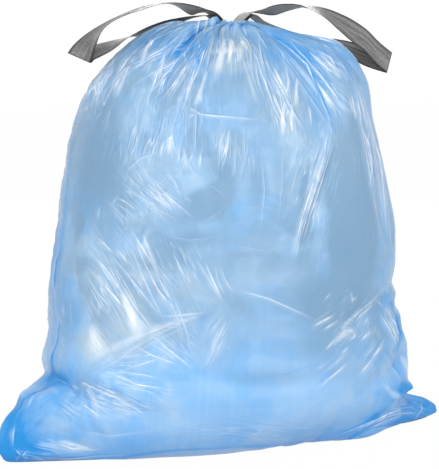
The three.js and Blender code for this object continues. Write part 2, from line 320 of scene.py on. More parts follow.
def pleatRelief(angle, station):
    borders = pleatBorders()
    pleat = np.clip(np.searchsorted(borders, angle, side="right") - 1, 0, filmShape["pleatCount"] - 1)
    share = (angle - borders[pleat]) / (borders[pleat + 1] - borders[pleat])
    return -valleyDepth(pleat, station) * (1 - share) ** 2.4 - valleyDepth(pleat + 1, station) * share**2.4


def foldRelief(angle, height):
    relief = np.zeros(angle.shape)
    degree = filmShape["foldTurn"]
    for fromAngle, fromHeight, toAngle, toHeight, width, depth in filmShape["bodyFolds"]:
        line = np.array([(toAngle - fromAngle) * degree, toHeight - fromHeight])
        share, x, z = nearestOn((angle - fromAngle) * degree, height - fromHeight, line)
        relief += depth * bell(np.hypot(x, z) / width) * arch(share, 0.12, 0.76)
    return relief


pixelSize = 1.2  # millimetres of film for each pixel of the photograph

# Wrinkles that the photograph shows, by their place in it: from, to, how many, how far they spread,
# height in millimetres, half width in pixels.
seenWrinkles = [
    (207, 27, 128, 78, 9, 26, 1.1, 1.7), (209, 30, 152, 104, 8, 22, 1.2, 1.8),
    (213, 30, 180, 112, 7, 12, 2.2, 1.9), (222, 30, 212, 74, 6, 16, 1.2, 1.8),
    (235, 30, 246, 92, 6, 20, 1, 1.8), (255, 32, 276, 118, 7, 16, 1.2, 1.7),
    (268, 68, 297, 132, 7, 16, 1.5, 1.6), (268, 31, 333, 122, 6, 10, 2.4, 1.9),
    (310, 52, 338, 80, 6, 16, 1.4, 1.6), (330, 92, 350, 118, 5, 18, 1.3, 1.6),
    (98, 72, 92, 112, 5, 20, 0.8, 1.8), (170, 60, 160, 96, 5, 20, 1, 1.7),
    (357, 66, 384, 236, 4, 10, 1.2, 2.1), (332, 132, 300, 240, 4, 10, 1.6, 2.4),
    (326, 140, 312, 190, 3, 8, 1, 1.7), (162, 128, 150, 164, 6, 22, 1, 2),
    (196, 150, 192, 168, 4, 18, 0.9, 1.8), (232, 130, 228, 168, 6, 20, 1, 1.9),
    (140, 176, 184, 218, 6, 20, 1.1, 2.1), (110, 200, 136, 222, 4, 16, 0.9, 2),
    (97, 240, 152, 334, 3, 5, 2, 1.8), (92, 262, 140, 326, 5, 12, 1.2, 1.6),
    (138, 240, 176, 312, 6, 22, 1.2, 1.7), (158, 262, 192, 360, 4, 10, 1, 1.6),
    (134, 330, 194, 366, 3, 10, 1.1, 1.6), (90, 372, 206, 312, 2, 5, 2.6, 4.5),
    (100, 360, 150, 356, 4, 14, 0.9, 1.6), (84, 378, 128, 404, 3, 7, 1.4, 1.8),
    (92, 376, 168, 388, 4, 14, 1, 1.7), (88, 402, 150, 414, 4, 10, 1.2, 1.7),
    (206, 366, 226, 322, 3, 8, 1, 2), (216, 262, 232, 300, 2, 6, 0.9, 2.2),
    (312, 326, 336, 314, 3, 8, 0.5, 1.5), (334, 346, 386, 288, 3, 10, 0.6, 1.6),
    (358, 376, 386, 338, 2, 6, 0.6, 1.5), (320, 382, 352, 356, 2, 8, 0.5, 1.6),
    (356, 344, 372, 330, 2, 8, 0.5, 1.5), (386, 306, 402, 352, 3, 6, 1.6, 1.7),
    (344, 436, 404, 408, 4, 8, 1.3, 1.8), (392, 404, 430, 416, 5, 12, 1.6, 1.7),
    (44, 386, 16, 420, 2, 4, 0.7, 1.9), (14, 424, 12, 446, 2, 4, 1.4, 1.8),
    (52, 442, 88, 450, 2, 5, 0.7, 1.8), (18, 454, 60, 460, 4, 7, 1.3, 1.6), (50, 398, 80, 420, 4, 16, 1, 2),
]


# Creases along a bent line: height in millimetres, half width in pixels, how far the film lies doubled
# there, then the points by place in the photograph.
seenCreases = [
    (1.2, 2, 0.6, 47, 384, 34, 395, 19, 410, 10, 428, 9, 446, 16, 457),
    (0.6, 2.2, 0, 54, 388, 40, 400, 27, 415, 19, 432, 18, 446),
    (-2.4, 2.2, 0.6, 44, 378, 52, 382, 66, 388, 78, 398), (-1.6, 3, 0.3, 82, 384, 84, 398, 94, 414),
    (1.3, 2, 0.5, 22, 463, 70, 462, 120, 456, 178, 449, 240, 445, 300, 443),
    (1.4, 1.6, 0.6, 14, 448, 22, 456, 34, 458), (1.4, 1.6, 0.6, 24, 450, 20, 456, 17, 462),
    (3.6, 5, 0, 95, 366, 120, 350, 160, 330, 204, 313), (2, 3, 0, 99, 372, 112, 392, 100, 410),
    (0.8, 1.6, 0, 187, 105, 204, 114, 228, 118, 262, 117),
    (-2.2, 2.2, 0.7, 394, 303, 399, 318, 401, 338, 396, 352),
    (2.2, 3, 0.5, 404, 382, 398, 394, 386, 408, 364, 424, 340, 436),
    (-2.4, 2.4, 0.9, 412, 384, 404, 394, 399, 402),
    (1.8, 2.4, 0.7, 436, 412, 414, 409, 398, 412, 372, 424, 350, 437),
    (1.4, 1.8, 0.6, 418, 404, 408, 416, 388, 424), (1.4, 1.6, 0.6, 430, 410, 418, 408, 408, 402),
    (2.4, 4, 0, 332, 130, 326, 160, 312, 200, 300, 240, 296, 268),
    (1.4, 2.4, 0.2, 372, 96, 378, 140, 384, 190, 388, 240), (1.1, 2.2, 0.2, 362, 84, 370, 140, 377, 200),
    (1.3, 2.2, 0.35, 74, 130, 69, 170, 66, 200, 62, 240, 57, 280),
    (1.6, 2.2, 0.5, 52, 300, 56, 330, 50, 358, 46, 374),
    (-2.2, 2, 0.75, 216, 22, 207, 42, 197, 64, 187, 84, 179, 106),
    (-1.4, 1.6, 0.5, 211, 24, 201, 46, 193, 66), (-1.2, 1.6, 0.35, 220, 26, 215, 50, 208, 78, 204, 100),
    (-2.2, 2, 0.8, 266, 29, 286, 44, 304, 60, 316, 84, 330, 120),
    (-1.4, 1.6, 0.6, 274, 31, 294, 44, 314, 64, 332, 96), (-1, 1.8, 0.3, 246, 30, 256, 56, 262, 84),
    (-1.2, 2, 0.3, 176, 32, 164, 48, 154, 72), (-1.2, 1.8, 0.3, 196, 26, 180, 44, 168, 70, 160, 92),
    (1.4, 3, 0, 130, 150, 142, 176, 166, 204, 186, 222), (1.8, 4, 0, 196, 176, 214, 196, 222, 222, 214, 250),
    (1.4, 4, 0, 262, 150, 268, 186, 262, 226), (1.2, 3, 0, 262, 318, 292, 322, 330, 336),
    (1.2, 3.4, 0, 216, 258, 226, 290, 238, 318), (1, 3, 0, 168, 236, 176, 262, 196, 300),
]

# Single sharp folds: how much painted highlight lies on one side, how much painted shade on the other, then
# the points by place in the photograph.
seenLines = [
    (0.9, 0.3, 160, 32, 150, 43, 143, 54, 141, 66), (0.8, 0.2, 155, 37, 148, 50),
    (0.8, 0.4, 175, 37, 162, 58, 156, 75, 150, 92, 146, 105), (0.7, 0.4, 140, 45, 125, 58, 115, 75, 108, 86),
    (0.6, 0.2, 125, 72, 118, 82, 114, 93), (0.7, 0.1, 185, 46, 186, 62),
    (0.4, 0.4, 104, 62, 92, 80, 84, 100),
    (0.5, 0.9, 216, 24, 207, 37, 197, 57, 190, 75, 186, 88, 180, 105, 174, 125, 168, 146),
    (0.9, 0.8, 210, 38, 204, 52, 200, 66, 192, 84, 183, 110),
    (0.3, 0.6, 200, 78, 197, 100, 196, 130, 195, 160),
    (0.6, 0.1, 190, 106, 200, 114, 215, 116, 230, 117, 254, 119), (1, 0.1, 224, 44, 220, 56, 217, 72),
    (1, 0.1, 231, 46, 229, 60), (0.9, 0.2, 238, 48, 238, 62),
    (0.7, 0.5, 248, 42, 258, 58, 262, 72, 268, 88, 275, 108, 285, 128),
    (0.9, 0.3, 266, 58, 275, 75, 282, 90, 288, 100), (1, 0.2, 283, 106, 282, 130),
    (0.9, 0.2, 291, 108, 292, 130), (0.8, 0.2, 298, 80, 296, 102), (0.8, 0.1, 310, 106, 312, 126),
    (0.6, 1, 270, 30, 282, 39, 292, 47, 308, 62, 315, 80, 322, 100, 330, 118, 331, 136),
    (0.6, 0.9, 292, 40, 308, 57, 322, 77, 335, 95, 348, 112), (0.8, 0.2, 318, 47, 332, 57, 338, 73),
    (0.7, 0.2, 313, 54, 327, 67, 330, 76), (1, 0.1, 321, 86, 330, 101), (0.7, 0.1, 350, 97, 353, 112),
    (0.7, 0.1, 358, 99, 362, 119), (0.7, 0.5, 363, 84, 372, 125, 380, 160, 385, 200, 388, 236),
    (0.5, 0.5, 356, 104, 366, 140, 372, 175, 377, 210),
    (0.5, 0.6, 333, 128, 322, 172, 311, 196, 302, 228, 298, 256), (0.6, 0.2, 326, 138, 316, 170, 306, 196),
    (0.3, 0.3, 125, 172, 140, 158, 160, 150), (0.8, 0.1, 165, 142, 172, 135, 175, 151),
    (0.7, 0.1, 180, 148, 179, 163), (0.15, 0.3, 188, 158, 193, 172, 204, 178),
    (0.4, 0.3, 132, 190, 155, 208, 177, 219), (0.6, 0.2, 150, 176, 168, 196, 178, 212),
    (0.4, 0.4, 231, 132, 228, 150, 222, 170), (0.3, 0.4, 244, 130, 246, 160, 240, 180),
    (0.2, 0.4, 262, 150, 265, 190, 262, 226), (0.2, 0.3, 284, 140, 283, 180, 279, 222),
    (1, 0.9, 97, 259, 107, 271, 120, 291, 135, 314, 150, 333), (1, 0.3, 99, 239, 112, 252),
    (0.9, 0.3, 90, 268, 105, 286, 125, 309, 136, 326), (0.7, 0.1, 117, 250, 131, 265),
    (0.7, 0.3, 110, 254, 125, 271, 145, 296, 160, 315), (0.9, 0.2, 132, 231, 145, 251, 156, 270),
    (0.8, 0.2, 147, 274, 162, 294, 176, 312), (0.8, 0, 206, 264, 214, 282, 222, 299),
    (0.8, 0.2, 150, 334, 170, 351, 191, 367), (0.6, 0.2, 132, 344, 152, 355, 181, 366),
    (0.1, 0.5, 85, 311, 100, 324, 120, 339), (0.5, 0, 160, 316, 180, 315, 203, 312),
    (0.7, 0.1, 136, 337, 160, 329, 176, 320), (0.8, 0.2, 107, 371, 135, 384, 173, 390),
    (1, 0.6, 80, 382, 102, 392, 126, 402), (1, 0.4, 82, 405, 98, 416), (0.8, 0.4, 86, 388, 92, 405),
    (0.8, 0.2, 115, 399, 143, 414), (0.5, 0.1, 122, 370, 166, 356),
    (0.4, 0.2, 92, 373, 112, 364, 140, 344, 175, 326, 202, 313), (0.7, 0.1, 226, 322, 216, 344, 207, 366),
    (0.5, 0, 219, 330, 210, 354), (0.05, 1, 50, 382, 33, 396, 20, 412, 12, 428, 11, 444),
    (1, 0.1, 52, 441, 72, 449, 96, 450), (0.5, 0.9, 20, 456, 16, 451), (0.5, 0.8, 22, 456, 26, 452),
    (0.4, 0.8, 22, 457, 30, 459), (0.3, 0.8, 20, 457, 16, 461), (0.3, 0.6, 24, 459, 27, 464),
    (0.3, 0.9, 18, 461, 50, 461, 82, 458, 125, 453), (0.3, 0.1, 70, 430, 110, 436, 160, 430),
    (0.2, 0.8, 61, 243, 56, 261, 54, 279, 53, 294), (0.3, 0.8, 54, 304, 57, 324, 53, 346, 48, 362),
    (0.3, 0.9, 46, 378, 58, 382, 70, 392), (0.1, 0.4, 54, 392, 66, 408, 70, 424),
    (1, 0.1, 315, 326, 335, 315), (0.7, 0.1, 324, 330, 340, 320),
    (0.9, 0.3, 345, 326, 360, 314, 375, 301, 387, 288), (0.7, 0.1, 357, 322, 370, 311, 377, 303),
    (1, 0.3, 360, 375, 372, 359, 385, 339), (0.9, 0, 375, 356, 384, 342),
    (0.8, 0.1, 320, 389, 335, 376, 348, 363), (0.8, 0.1, 327, 349, 338, 338), (0.9, 0.1, 362, 340, 371, 330),
    (0.4, 0.2, 352, 292, 354, 304), (0.5, 0, 242, 291, 270, 299, 315, 319),
    (0.3, 0.9, 389, 300, 394, 318, 396, 336, 392, 352), (0.3, 0.5, 384, 352, 398, 368, 402, 382),
    (0.2, 1, 399, 396, 406, 388, 409, 383), (0.1, 1, 404, 401, 412, 392),
    (0.35, 0.8, 375, 419, 400, 413, 418, 413), (0.2, 0.9, 392, 408, 415, 407),
    (0.4, 0.8, 421, 404, 420, 412, 413, 419), (0.4, 0.6, 335, 436, 370, 421, 404, 410),
    (0.1, 0.8, 344, 441, 372, 429, 410, 421), (0.2, 0.1, 200, 430, 260, 425, 320, 428),
    (0, 0.4, 260, 379, 292, 374, 330, 359), (0.6, 0.2, 342, 354, 350, 346), (0.5, 0.2, 332, 368, 346, 354),
    (0.3, 0.1, 318, 372, 330, 360), (0.7, 0.2, 366, 356, 374, 346), (0.6, 0.2, 352, 330, 357, 336, 350, 342),
    (0.8, 0.1, 340, 338, 346, 331, 355, 333), (0.5, 0.1, 364, 326, 372, 318), (0.4, 0.1, 372, 334, 378, 326),
    (0.3, 0.1, 325, 300, 331, 293), (0.6, 0.1, 352, 301, 356, 297), (0.3, 0.3, 380, 300, 388, 306),
    (0.8, 0.5, 203, 16, 199, 22, 197, 29), (0.7, 0.6, 210, 17, 206, 24, 204, 31),
    (0.5, 0.7, 216, 21, 211, 28), (0.4, 0.6, 226, 26, 223, 34, 221, 42), (0.4, 0.5, 236, 25, 235, 34),
    (0.4, 0.5, 246, 24, 249, 34), (0.5, 0.5, 256, 26, 262, 36, 268, 46),
    (0.3, 0.5, 192, 30, 180, 40, 170, 52), (0.3, 0.4, 186, 28, 172, 36, 160, 46),
    (0.4, 0.1, 128, 176, 134, 186), (0.4, 0.1, 136, 170, 144, 184), (0.4, 0.2, 143, 168, 152, 182, 160, 190),
    (0.4, 0.2, 150, 196, 164, 206, 176, 211), (0.4, 0.2, 144, 200, 158, 212, 168, 222),
    (0.4, 0.2, 186, 196, 192, 202), (0.4, 0.2, 168, 172, 176, 184, 182, 198),
    (0.08, 0.2, 204, 162, 212, 158, 224, 160), (0.3, 0.1, 118, 196, 112, 206), (0.3, 0.1, 100, 206, 98, 220),
    (0.3, 0.3, 236, 150, 236, 166, 232, 178), (0.2, 0.3, 254, 152, 256, 172),
    (0.1, 0.4, 206, 186, 214, 186, 226, 196), (0.1, 0.4, 196, 222, 210, 218, 226, 206),
    (0.06, 0.15, 240, 206, 270, 207, 296, 212), (0.2, 0.3, 170, 236, 190, 240, 214, 236),
    (0.3, 0.2, 300, 134, 296, 156, 288, 176), (0.1, 0.3, 240, 246, 262, 250, 290, 246),
]

# Where the film is drawn into fine streaks: centre, half sizes, direction, strength, in the photograph.
seenStreaks = [
    (122, 290, 34, 52, 0.5, 0.86, 1), (168, 276, 30, 46, 0.46, 0.89, 0.8),
    (176, 344, 26, 24, 0.72, 0.69, 0.7), (118, 394, 42, 20, 0.92, 0.38, 1),
    (104, 340, 20, 22, 0.55, 0.83, 0.9), (215, 345, 18, 24, 0.45, -0.89, 0.6),
    (354, 318, 36, 26, 0.67, -0.74, 0.45), (368, 358, 24, 26, 0.62, -0.78, 0.45),
    (332, 372, 26, 16, 0.74, -0.67, 0.35), (390, 330, 14, 26, 0.2, 0.98, 0.7),
    (396, 414, 30, 12, 0.85, -0.3, 0.4), (36, 412, 26, 26, 0.66, -0.75, 0.5),
    (48, 452, 34, 12, 0.98, 0.18, 0.8), (374, 170, 12, 70, 0.14, 0.99, 0.8),
    (312, 182, 22, 52, -0.3, 0.95, 0.7), (158, 196, 32, 30, 0.72, 0.69, 0.7),
    (150, 146, 30, 20, -0.25, 0.97, 0.8), (232, 152, 34, 22, 0.05, 1, 0.7), (290, 100, 22, 36, 0.2, 0.98, 1),
    (326, 70, 24, 22, 0.75, 0.66, 0.9), (60, 320, 12, 30, 0.1, 0.99, 0.6),
    (246, 428, 80, 10, 0.99, 0.05, 0.4),
]


def streakLay(across, up, facing, angle, lift, girth):
    # for each point: place across and along the nearest field of streaks, in millimetres, and its strength
    best = second = np.zeros(across.shape)
    lay = np.zeros((*across.shape, 3))

    def offer(x, y, dx, dy, mask):
        nonlocal best, second
        wins = mask > best
        second = np.where(wins, best, np.maximum(second, mask))
        best = np.where(wins, mask, best)
        lay[..., 0] = np.where(wins, x * dy - y * dx, lay[..., 0])
        lay[..., 1] = np.where(wins, x * dx + y * dy, lay[..., 1])

    for x, y, wide, high, dx, dy, strength in seenStreaks:
        mask = strength * bell((across - x) / wide, (up - y) / high) * facing
        offer((across - x) * pixelSize + x, (up - y) * pixelSize + y, dx, dy, mask)
    random = np.random.default_rng(91)
    for _ in range(hiddenShape["streaks"]):
        middle = random.uniform(*hiddenShape["streakAngles"]) % 360
        height = random.uniform(*hiddenShape["streakHeights"])
        lean = random.uniform(-1.2, 1.2)
        turn = turnFrom(angle, middle) * girth / 360
        wide, high = random.uniform(35, 70), random.uniform(35, 80)
        mask = random.uniform(0.5, 1) * bell(turn / wide, (lift - height) / high) * (1 - facing)
        offer(turn + height, lift + middle, math.sin(lean), math.cos(lean), mask)
    lay[..., 2] = best - second
    return lay


foldLayers = 6

# What the hidden sides carry: how many of each, and between which angles and heights; for wrinkles also
# their lengths.
hiddenShape = {
    "streaks": 26, "streakAngles": (200, 390), "streakHeights": (20, 420),
    "folds": 24, "foldAngles": (202, 388), "foldHeights": (30, 560),
    "wrinkles": 34, "wrinkleAngles": (205, 385), "wrinkleHeights": (40, 560), "wrinkleLengths": (50, 130),
}


def foldName(layer):
    return "folds" + "ABCDEF"[layer]


def asPoints(places):
    return np.reshape(places, (-1, 2)).astype(float)


def hiddenLines():
    # bundles of sharp folds for the sides and the back: middle angle and height, then points in millimetres,
    # then the amounts of painted highlight and painted shade
    random = np.random.default_rng(123)
    lines = []
    for _ in range(hiddenShape["folds"]):
        middle = random.uniform(*hiddenShape["foldAngles"]) % 360
        height = random.uniform(*hiddenShape["foldHeights"])
        lean = random.uniform(-1.2, 1.2) if height < 380 else random.uniform(-0.2, 0.2)
        run = np.array([math.sin(lean), math.cos(lean)])
        side = np.array([run[1], -run[0]])
        for index in range(int(random.integers(2, 6))):
            start = side * (index * random.uniform(8, 12)) + run * random.uniform(-25, 10)
            end = start + run * random.uniform(28, 95) + side * random.uniform(-6, 6)
            bend = (start + end) / 2 + side * random.uniform(-3, 3)
            lines.append((middle, height, [start, bend, end], random.uniform(0.4, 1), random.uniform(0, 0.6)))
    return lines


def lineFields(across, up, seen, angle, lift, girth):
    # layers of sharp folds, so that near neighbours lie in different ones; in each, for every point:
    # signed distance to its fold in millimetres, its painted highlight, its painted shade
    far = 60.0
    fields = np.zeros((foldLayers, *across.shape, 3))
    fields[..., 0] = far

    def offer(x, y, points, scale, white, dark, there):
        best = np.full(x.shape, far)
        own = np.zeros((*x.shape, 3))
        for index, (a, b) in enumerate(zip(points[:-1], points[1:])):
            line = b - a
            share, dx, dy = nearestOn(x - a[0], y - a[1], line)
            gap = np.hypot(dx, dy) * scale
            sign = np.where(line[0] * (y - a[1]) - line[1] * (x - a[0]) > 0, 1.0, -1.0)
            along = (index + share) / (len(points) - 1)
            fade = arch(along, 0.04, 0.92, 0.9) * smoothStep(6.5 - gap, 0, 2.5) * there
            wins = gap < best
            best = np.where(wins, gap, best)
            for slot, value in enumerate((gap * sign, white * fade, dark * fade)):
                own[..., slot] = np.where(wins, value, own[..., slot])
        near = (own[..., 1] + own[..., 2]) > 0.01
        taken = [(near & (fields[layer, ..., 0] < 50)).sum() for layer in range(foldLayers)]
        layer = int(np.argmin(taken))
        wins = near & (best < np.abs(fields[layer, ..., 0]))
        fields[layer][wins] = own[wins]

    for white, dark, *places in seenLines:
        offer(across, up, asPoints(places), pixelSize, white, dark, seen)
    random = np.random.default_rng(321)
    bundleSeen = seen * (1 - 0.8 * (across > 400))
    for seed, row in enumerate(seenWrinkles, 1):
        height = row[6]
        for a, b, bend, _, tallShare in bundleRidges(*row[:6], seed):
            bow = np.array([a, lerp(a, b, 0.33) + 0.85 * bend, lerp(a, b, 0.67) + 0.85 * bend, b])
            white = min(0.75 * height * tallShare * random.uniform(0.2, 1.0), 0.75)
            if height > 2.1:  # big folds show by their shape, so they get less painted highlight
                white *= 0.35
            offer(across, up, bow, pixelSize, white, random.uniform(0.3, 1.0) * white, bundleSeen)
    for middle, height, points, white, dark in hiddenLines():
        turn = turnFrom(angle, middle) * girth / 360
        offer(turn, lift - height, np.array(points), 1.0, white, dark, 1 - seen)
    return {foldName(layer): fields[layer] for layer in range(foldLayers)}


def nearLine(across, up, points):
    # distance to a bent line, and a share that is low at both ends of it
    gap = np.full(across.shape, 1e3)
    where = np.zeros(across.shape)
    for index, (a, b) in enumerate(zip(points[:-1], points[1:])):
        share, x, y = nearestOn(across - a[0], up - a[1], b - a)
        away = np.hypot(x, y)
        where = np.where(away < gap, (index + share) / (len(points) - 1), where)
        gap = np.minimum(gap, away)
    return gap, arch(where, 0.1, 0.8, 0.7)


def bundleRidges(fromX, fromY, toX, toY, count, spread, seed):
    # near-parallel ridges, each a little askew: from, to, bend sideways, share of width and of height
    random = np.random.default_rng(seed)
    start = np.array([fromX, fromY])
    run = np.array([toX, toY]) - start
    length = np.hypot(*run)
    side = np.array([-run[1], run[0]]) / length
    ridges = []
    for offset in np.linspace(-0.5, 0.5, count) if count > 1 else [0.0]:
        shift = side * spread * (offset + random.uniform(-0.4, 0.4) / count)
        low, high = sorted(random.uniform((-0.05, 0.7), (0.35, 1.08)))
        a = start + shift * random.uniform(0.5, 1) + run * low
        b = start + shift * random.uniform(0.9, 1.3) + run * high
        bend = side * random.uniform(-0.04, 0.04) * length
        ridges.append((a, b, bend, random.uniform(0.75, 1.3), random.uniform(0.45, 1.2)))
    return ridges


def wrinkleBundle(across, up, bundle, height, width, seed):
    # a bundle's relief, fading at both ends of each ridge
    relief = np.zeros(across.shape)
    for a, b, bend, thickShare, tallShare in bundleRidges(*bundle, seed):
        share, x, y = nearestOn(across - a[0], up - a[1], b - a)
        bow = np.sin(np.pi * share)
        gap = np.hypot(x - bend[0] * bow, y - bend[1] * bow) / (width * thickShare)
        ridge = np.exp(-np.sqrt(gap**2 + 0.15)) * 1.45 - 0.5 * bell(gap / 2.4)
        relief += height * tallShare * ridge * arch(share, 0.08, 0.84, 0.8)
    return relief


def hiddenWrinkles(angle, lift, girth):
    # the sides and the back, which the photograph doesn't show, carry bundles of the same kind
    random = np.random.default_rng(77)
    relief = np.zeros(angle.shape)
    for index in range(hiddenShape["wrinkles"]):
        middle = random.uniform(*hiddenShape["wrinkleAngles"]) % 360
        height = random.uniform(*hiddenShape["wrinkleHeights"])
        lean = random.uniform(-1.1, 1.1) if height < 400 else random.uniform(-0.25, 0.25)
        length = random.uniform(*hiddenShape["wrinkleLengths"])
        run = np.array([math.sin(lean), math.cos(lean)]) * length / 2
        across = turnFrom(angle, middle) * girth / 360
        bundle = (*-run, *run, int(random.integers(3, 8)), random.uniform(20, 50))
        tall, width = random.uniform(1.2, 2.6), random.uniform(2.6, 4)
        relief += wrinkleBundle(across, lift - height, bundle, tall, width, 200 + index)
    return relief


filmGrid = {"columns": 430, "rows": 224, "frontDensity": 2.3, "crownDensity": 1.15}


def filmAngles():
    # columns stand closer together on the side that the photograph shows
    angle = np.linspace(0, 360, 3601)
    rings = [smoothFilm(angle, np.full(angle.shape, place)) for place in (1.3, 5.0)]
    step = np.max([np.linalg.norm(np.diff(ring, axis=0), axis=1) for ring in rings], axis=0)
    middle = (angle[1:] + angle[:-1]) / 2
    front = smoothStep(middle, 8, 34) * (1 - smoothStep(middle, 196, 222))
    spread = np.concatenate([[0], np.cumsum(step * lerp(1, filmGrid["frontDensity"], front))])
    return np.interp(np.arange(filmGrid["columns"]) / filmGrid["columns"] * spread[-1], spread, angle)


def filmStations():
    station = np.linspace(0, lastStation, 3001)
    step = np.zeros(3000)
    for side in guides.values():
        step += np.linalg.norm(np.diff(splineThrough(side, station), axis=0), axis=1) / 4
    middle = (station[1:] + station[:-1]) / 2
    dense = lerp(1, filmGrid["crownDensity"], smoothStep(middle, 7, 9))
    spread = np.concatenate([[0], np.cumsum(step * dense)])
    return np.interp(np.linspace(0, spread[-1], filmGrid["rows"]), spread, station)


def outward(grid):
    # unit normals of a grid of points that closes on itself from column to column
    around = np.roll(grid, -1, axis=1) - np.roll(grid, 1, axis=1)
    upward = np.gradient(grid, axis=0)
    normal = np.cross(upward, around)
    return normal / np.maximum(np.linalg.norm(normal, axis=-1, keepdims=True), 1e-9)


# Relief of the loose film, in millimetres. Rows: height, cells round the bag, height of a cell, seed.
filmRelief = {
    "broad": [(3.0, 11, 95, 8), (1.6, 24, 48, 9)],
    "facets": [(3.4, 26, 46, 1, 12), (1.5, 56, 21, 2, 13)],  # with times the warp before the seed
    "gathers": 2.2, "fineGathers": 1.0, "gatherBase": 0.45,
    "broadShare": 0.8, "wrinkleTimes": 1.5, "creaseTimes": 1.3,
    "deepest": -7, "highest": 4.5,
    "quietPlaces": [(98, 165, 34, 66), (352, 200, 30, 95)],  # taut fields in the photograph
}


def sideRelief(angle, height):
    relief = np.zeros(angle.shape)
    for middle, level, halfAngle, halfHeight, inwards in sideHollows:
        relief -= inwards * bell(turnFrom(angle, middle) / halfAngle, (height - level) / halfHeight)
    return relief


def gatherRelief(angle, station):
    # fine gathers that run into the mouth
    drift = 0.8 * ringNoise(angle / 360 * 16, station * 0.6, 16, 5)
    fine = ringNoise(angle / 360 * 72 + drift, station * 0.55, 72, 6)
    finer = ringNoise(angle / 360 * 130 + drift * 1.6, station * 0.8, 130, 7)
    crown = smoothStep(station, 7.5, 11) * (1 - smoothStep(station, 13, 14.5))
    coarse = filmRelief["gathers"] * (filmRelief["gatherBase"] - np.abs(fine))
    return crown * (coarse + filmRelief["fineGathers"] * (filmRelief["gatherBase"] - np.abs(finer)))


def crumpleRelief(angle, lift, station):
    # broad hollows over the uneven contents, then facets and small crumples
    broad, facets = 0, 0
    for height, cells, tall, seed in filmRelief["broad"]:
        broad = broad + height * skinNoise(angle, lift, cells, tall, seed)
    patch = smoothStep(skinNoise(angle, lift, 9, 120, 10), -0.35, 0.6)
    warp = 0.5 * skinNoise(angle, lift, 20, 60, 11)
    for height, cells, tall, times, seed in filmRelief["facets"]:
        across, up = angle / 360 * cells + warp * times, lift / tall + warp
        facets = facets + height * creaseCells(across, up, cells, seed)
    fade = smoothStep(lift, 4, 40) * (1 - 0.7 * smoothStep(station, 9, 12))
    return (broad * filmRelief["broadShare"] + facets * patch) * fade


def seenRelief(across, up):
    # wrinkles and creases from the photograph, and how far the film lies doubled
    relief, doubled = np.zeros(across.shape), np.zeros(across.shape)
    for seed, row in enumerate(seenWrinkles, 1):
        relief += wrinkleBundle(across, up, row[:6], *row[6:], seed) * filmRelief["wrinkleTimes"]
    for height, width, deep, *places in seenCreases:
        gap, taper = nearLine(across, up, asPoints(places))
        gap = gap / width
        ridge = np.exp(-np.sqrt(gap**2 + 0.12)) * 1.4 - 0.45 * bell(gap / 2.2)
        relief += filmRelief["creaseTimes"] * height * ridge * taper
        doubled = np.maximum(doubled, deep * bell(gap / 0.75) * taper)
    return relief, doubled


def shapeFilm():
    angle, station = np.meshgrid(filmAngles(), filmStations())
    base = smoothFilm(angle, station)
    normal = outward(base)
    level = wrapRound(-angle, 0 * angle, 1)  # straight out from the middle, never up or down
    girth = np.linalg.norm(np.roll(base, -1, axis=1) - base, axis=-1).sum(axis=1, keepdims=True) + 0 * angle
    rise = np.linalg.norm(np.diff(base, axis=0), axis=-1).mean(axis=1)
    lift = np.concatenate([[0], np.cumsum(rise)])[:, None] + 0 * angle
    across, up = picturePlace(base - boxMiddle)
    towards = normal @ viewAxes()[2]
    facing, seen = smoothStep(towards, 0.0, 0.3), smoothStep(towards, -0.16, 0.06)
    print("film laid out:", angle.size, "points")

    pleats = pleatRelief(angle, station)
    folds = foldRelief(angle, base[..., 2]) * (station > 0)
    sides = sideRelief(angle, base[..., 2]) * (station < crownStation)
    quiet = facing * np.max([bell((across - x) / wide, (up - y) / high)
                             for x, y, wide, high in filmRelief["quietPlaces"]], axis=0)
    crumple = crumpleRelief(angle, lift, station) * (1 - 0.8 * quiet)
    wrinkles, doubled = seenRelief(across, up)
    hidden = hiddenWrinkles(angle, lift, girth) * (1 - facing)
    edgeFade = smoothStep(base[..., 2], 0, 6) * (1 - smoothStep(station, 13, 14))
    small = (gatherRelief(angle, station) + crumple + wrinkles * facing + hidden) * edgeFade
    small = np.clip(small, filmRelief["deepest"], filmRelief["highest"])
    print("film folded")

    grid = base + normal * (pleats + folds + small)[..., None] + level * sides[..., None]
    turn = (angle - filmShape["tuftAngle"]) / filmShape["tuftHalfAngle"]
    tuft = filmShape["tuftHeight"] * bell(turn, (station - filmShape["tuftStation"]) / 0.75)
    grid[..., 2] = np.maximum(grid[..., 2] + tuft, 0)

    crowding = np.clip(crownCrowding(station, pleats, base) + doubled * seen, 0, 1)
    gatherMask = smoothStep(station, 7.0, 10.0) * (1 - 0.5 * smoothStep(station, 12.5, 13.5))
    clusters = ringNoise(angle / 360 * 20, station * 1.1, 20, 41)
    clusters += 0.4 * ringNoise(angle / 360 * 44, station * 2.2, 44, 42)
    gatherMask *= 0.25 + 0.75 * smoothStep(clusters, -0.25, 0.5)
    return {
        "grid": grid - boxMiddle, "angle": angle, "lift": lift, "small": small, "crowding": crowding,
        "across": across, "up": up, "facing": facing, "seen": seen, "quiet": quiet,
        "streaks": streakLay(across, up, facing, angle, lift, girth),
        **lineFields(across, up, seen, angle, lift, girth),
        "gathers": wrapRound(angle, station, 180 / math.pi),
        "skin": wrapRound(angle, lift / 1000, 0.191),
        "gatherMask": np.clip(gatherMask, 0, 1),
    }


def wrapRound(angle, height, radius):
    # places on a round drum, so that patterns meet again all the way round
    turn = np.radians(angle)
    return np.stack([radius * np.cos(turn), radius * np.sin(turn), height], -1)


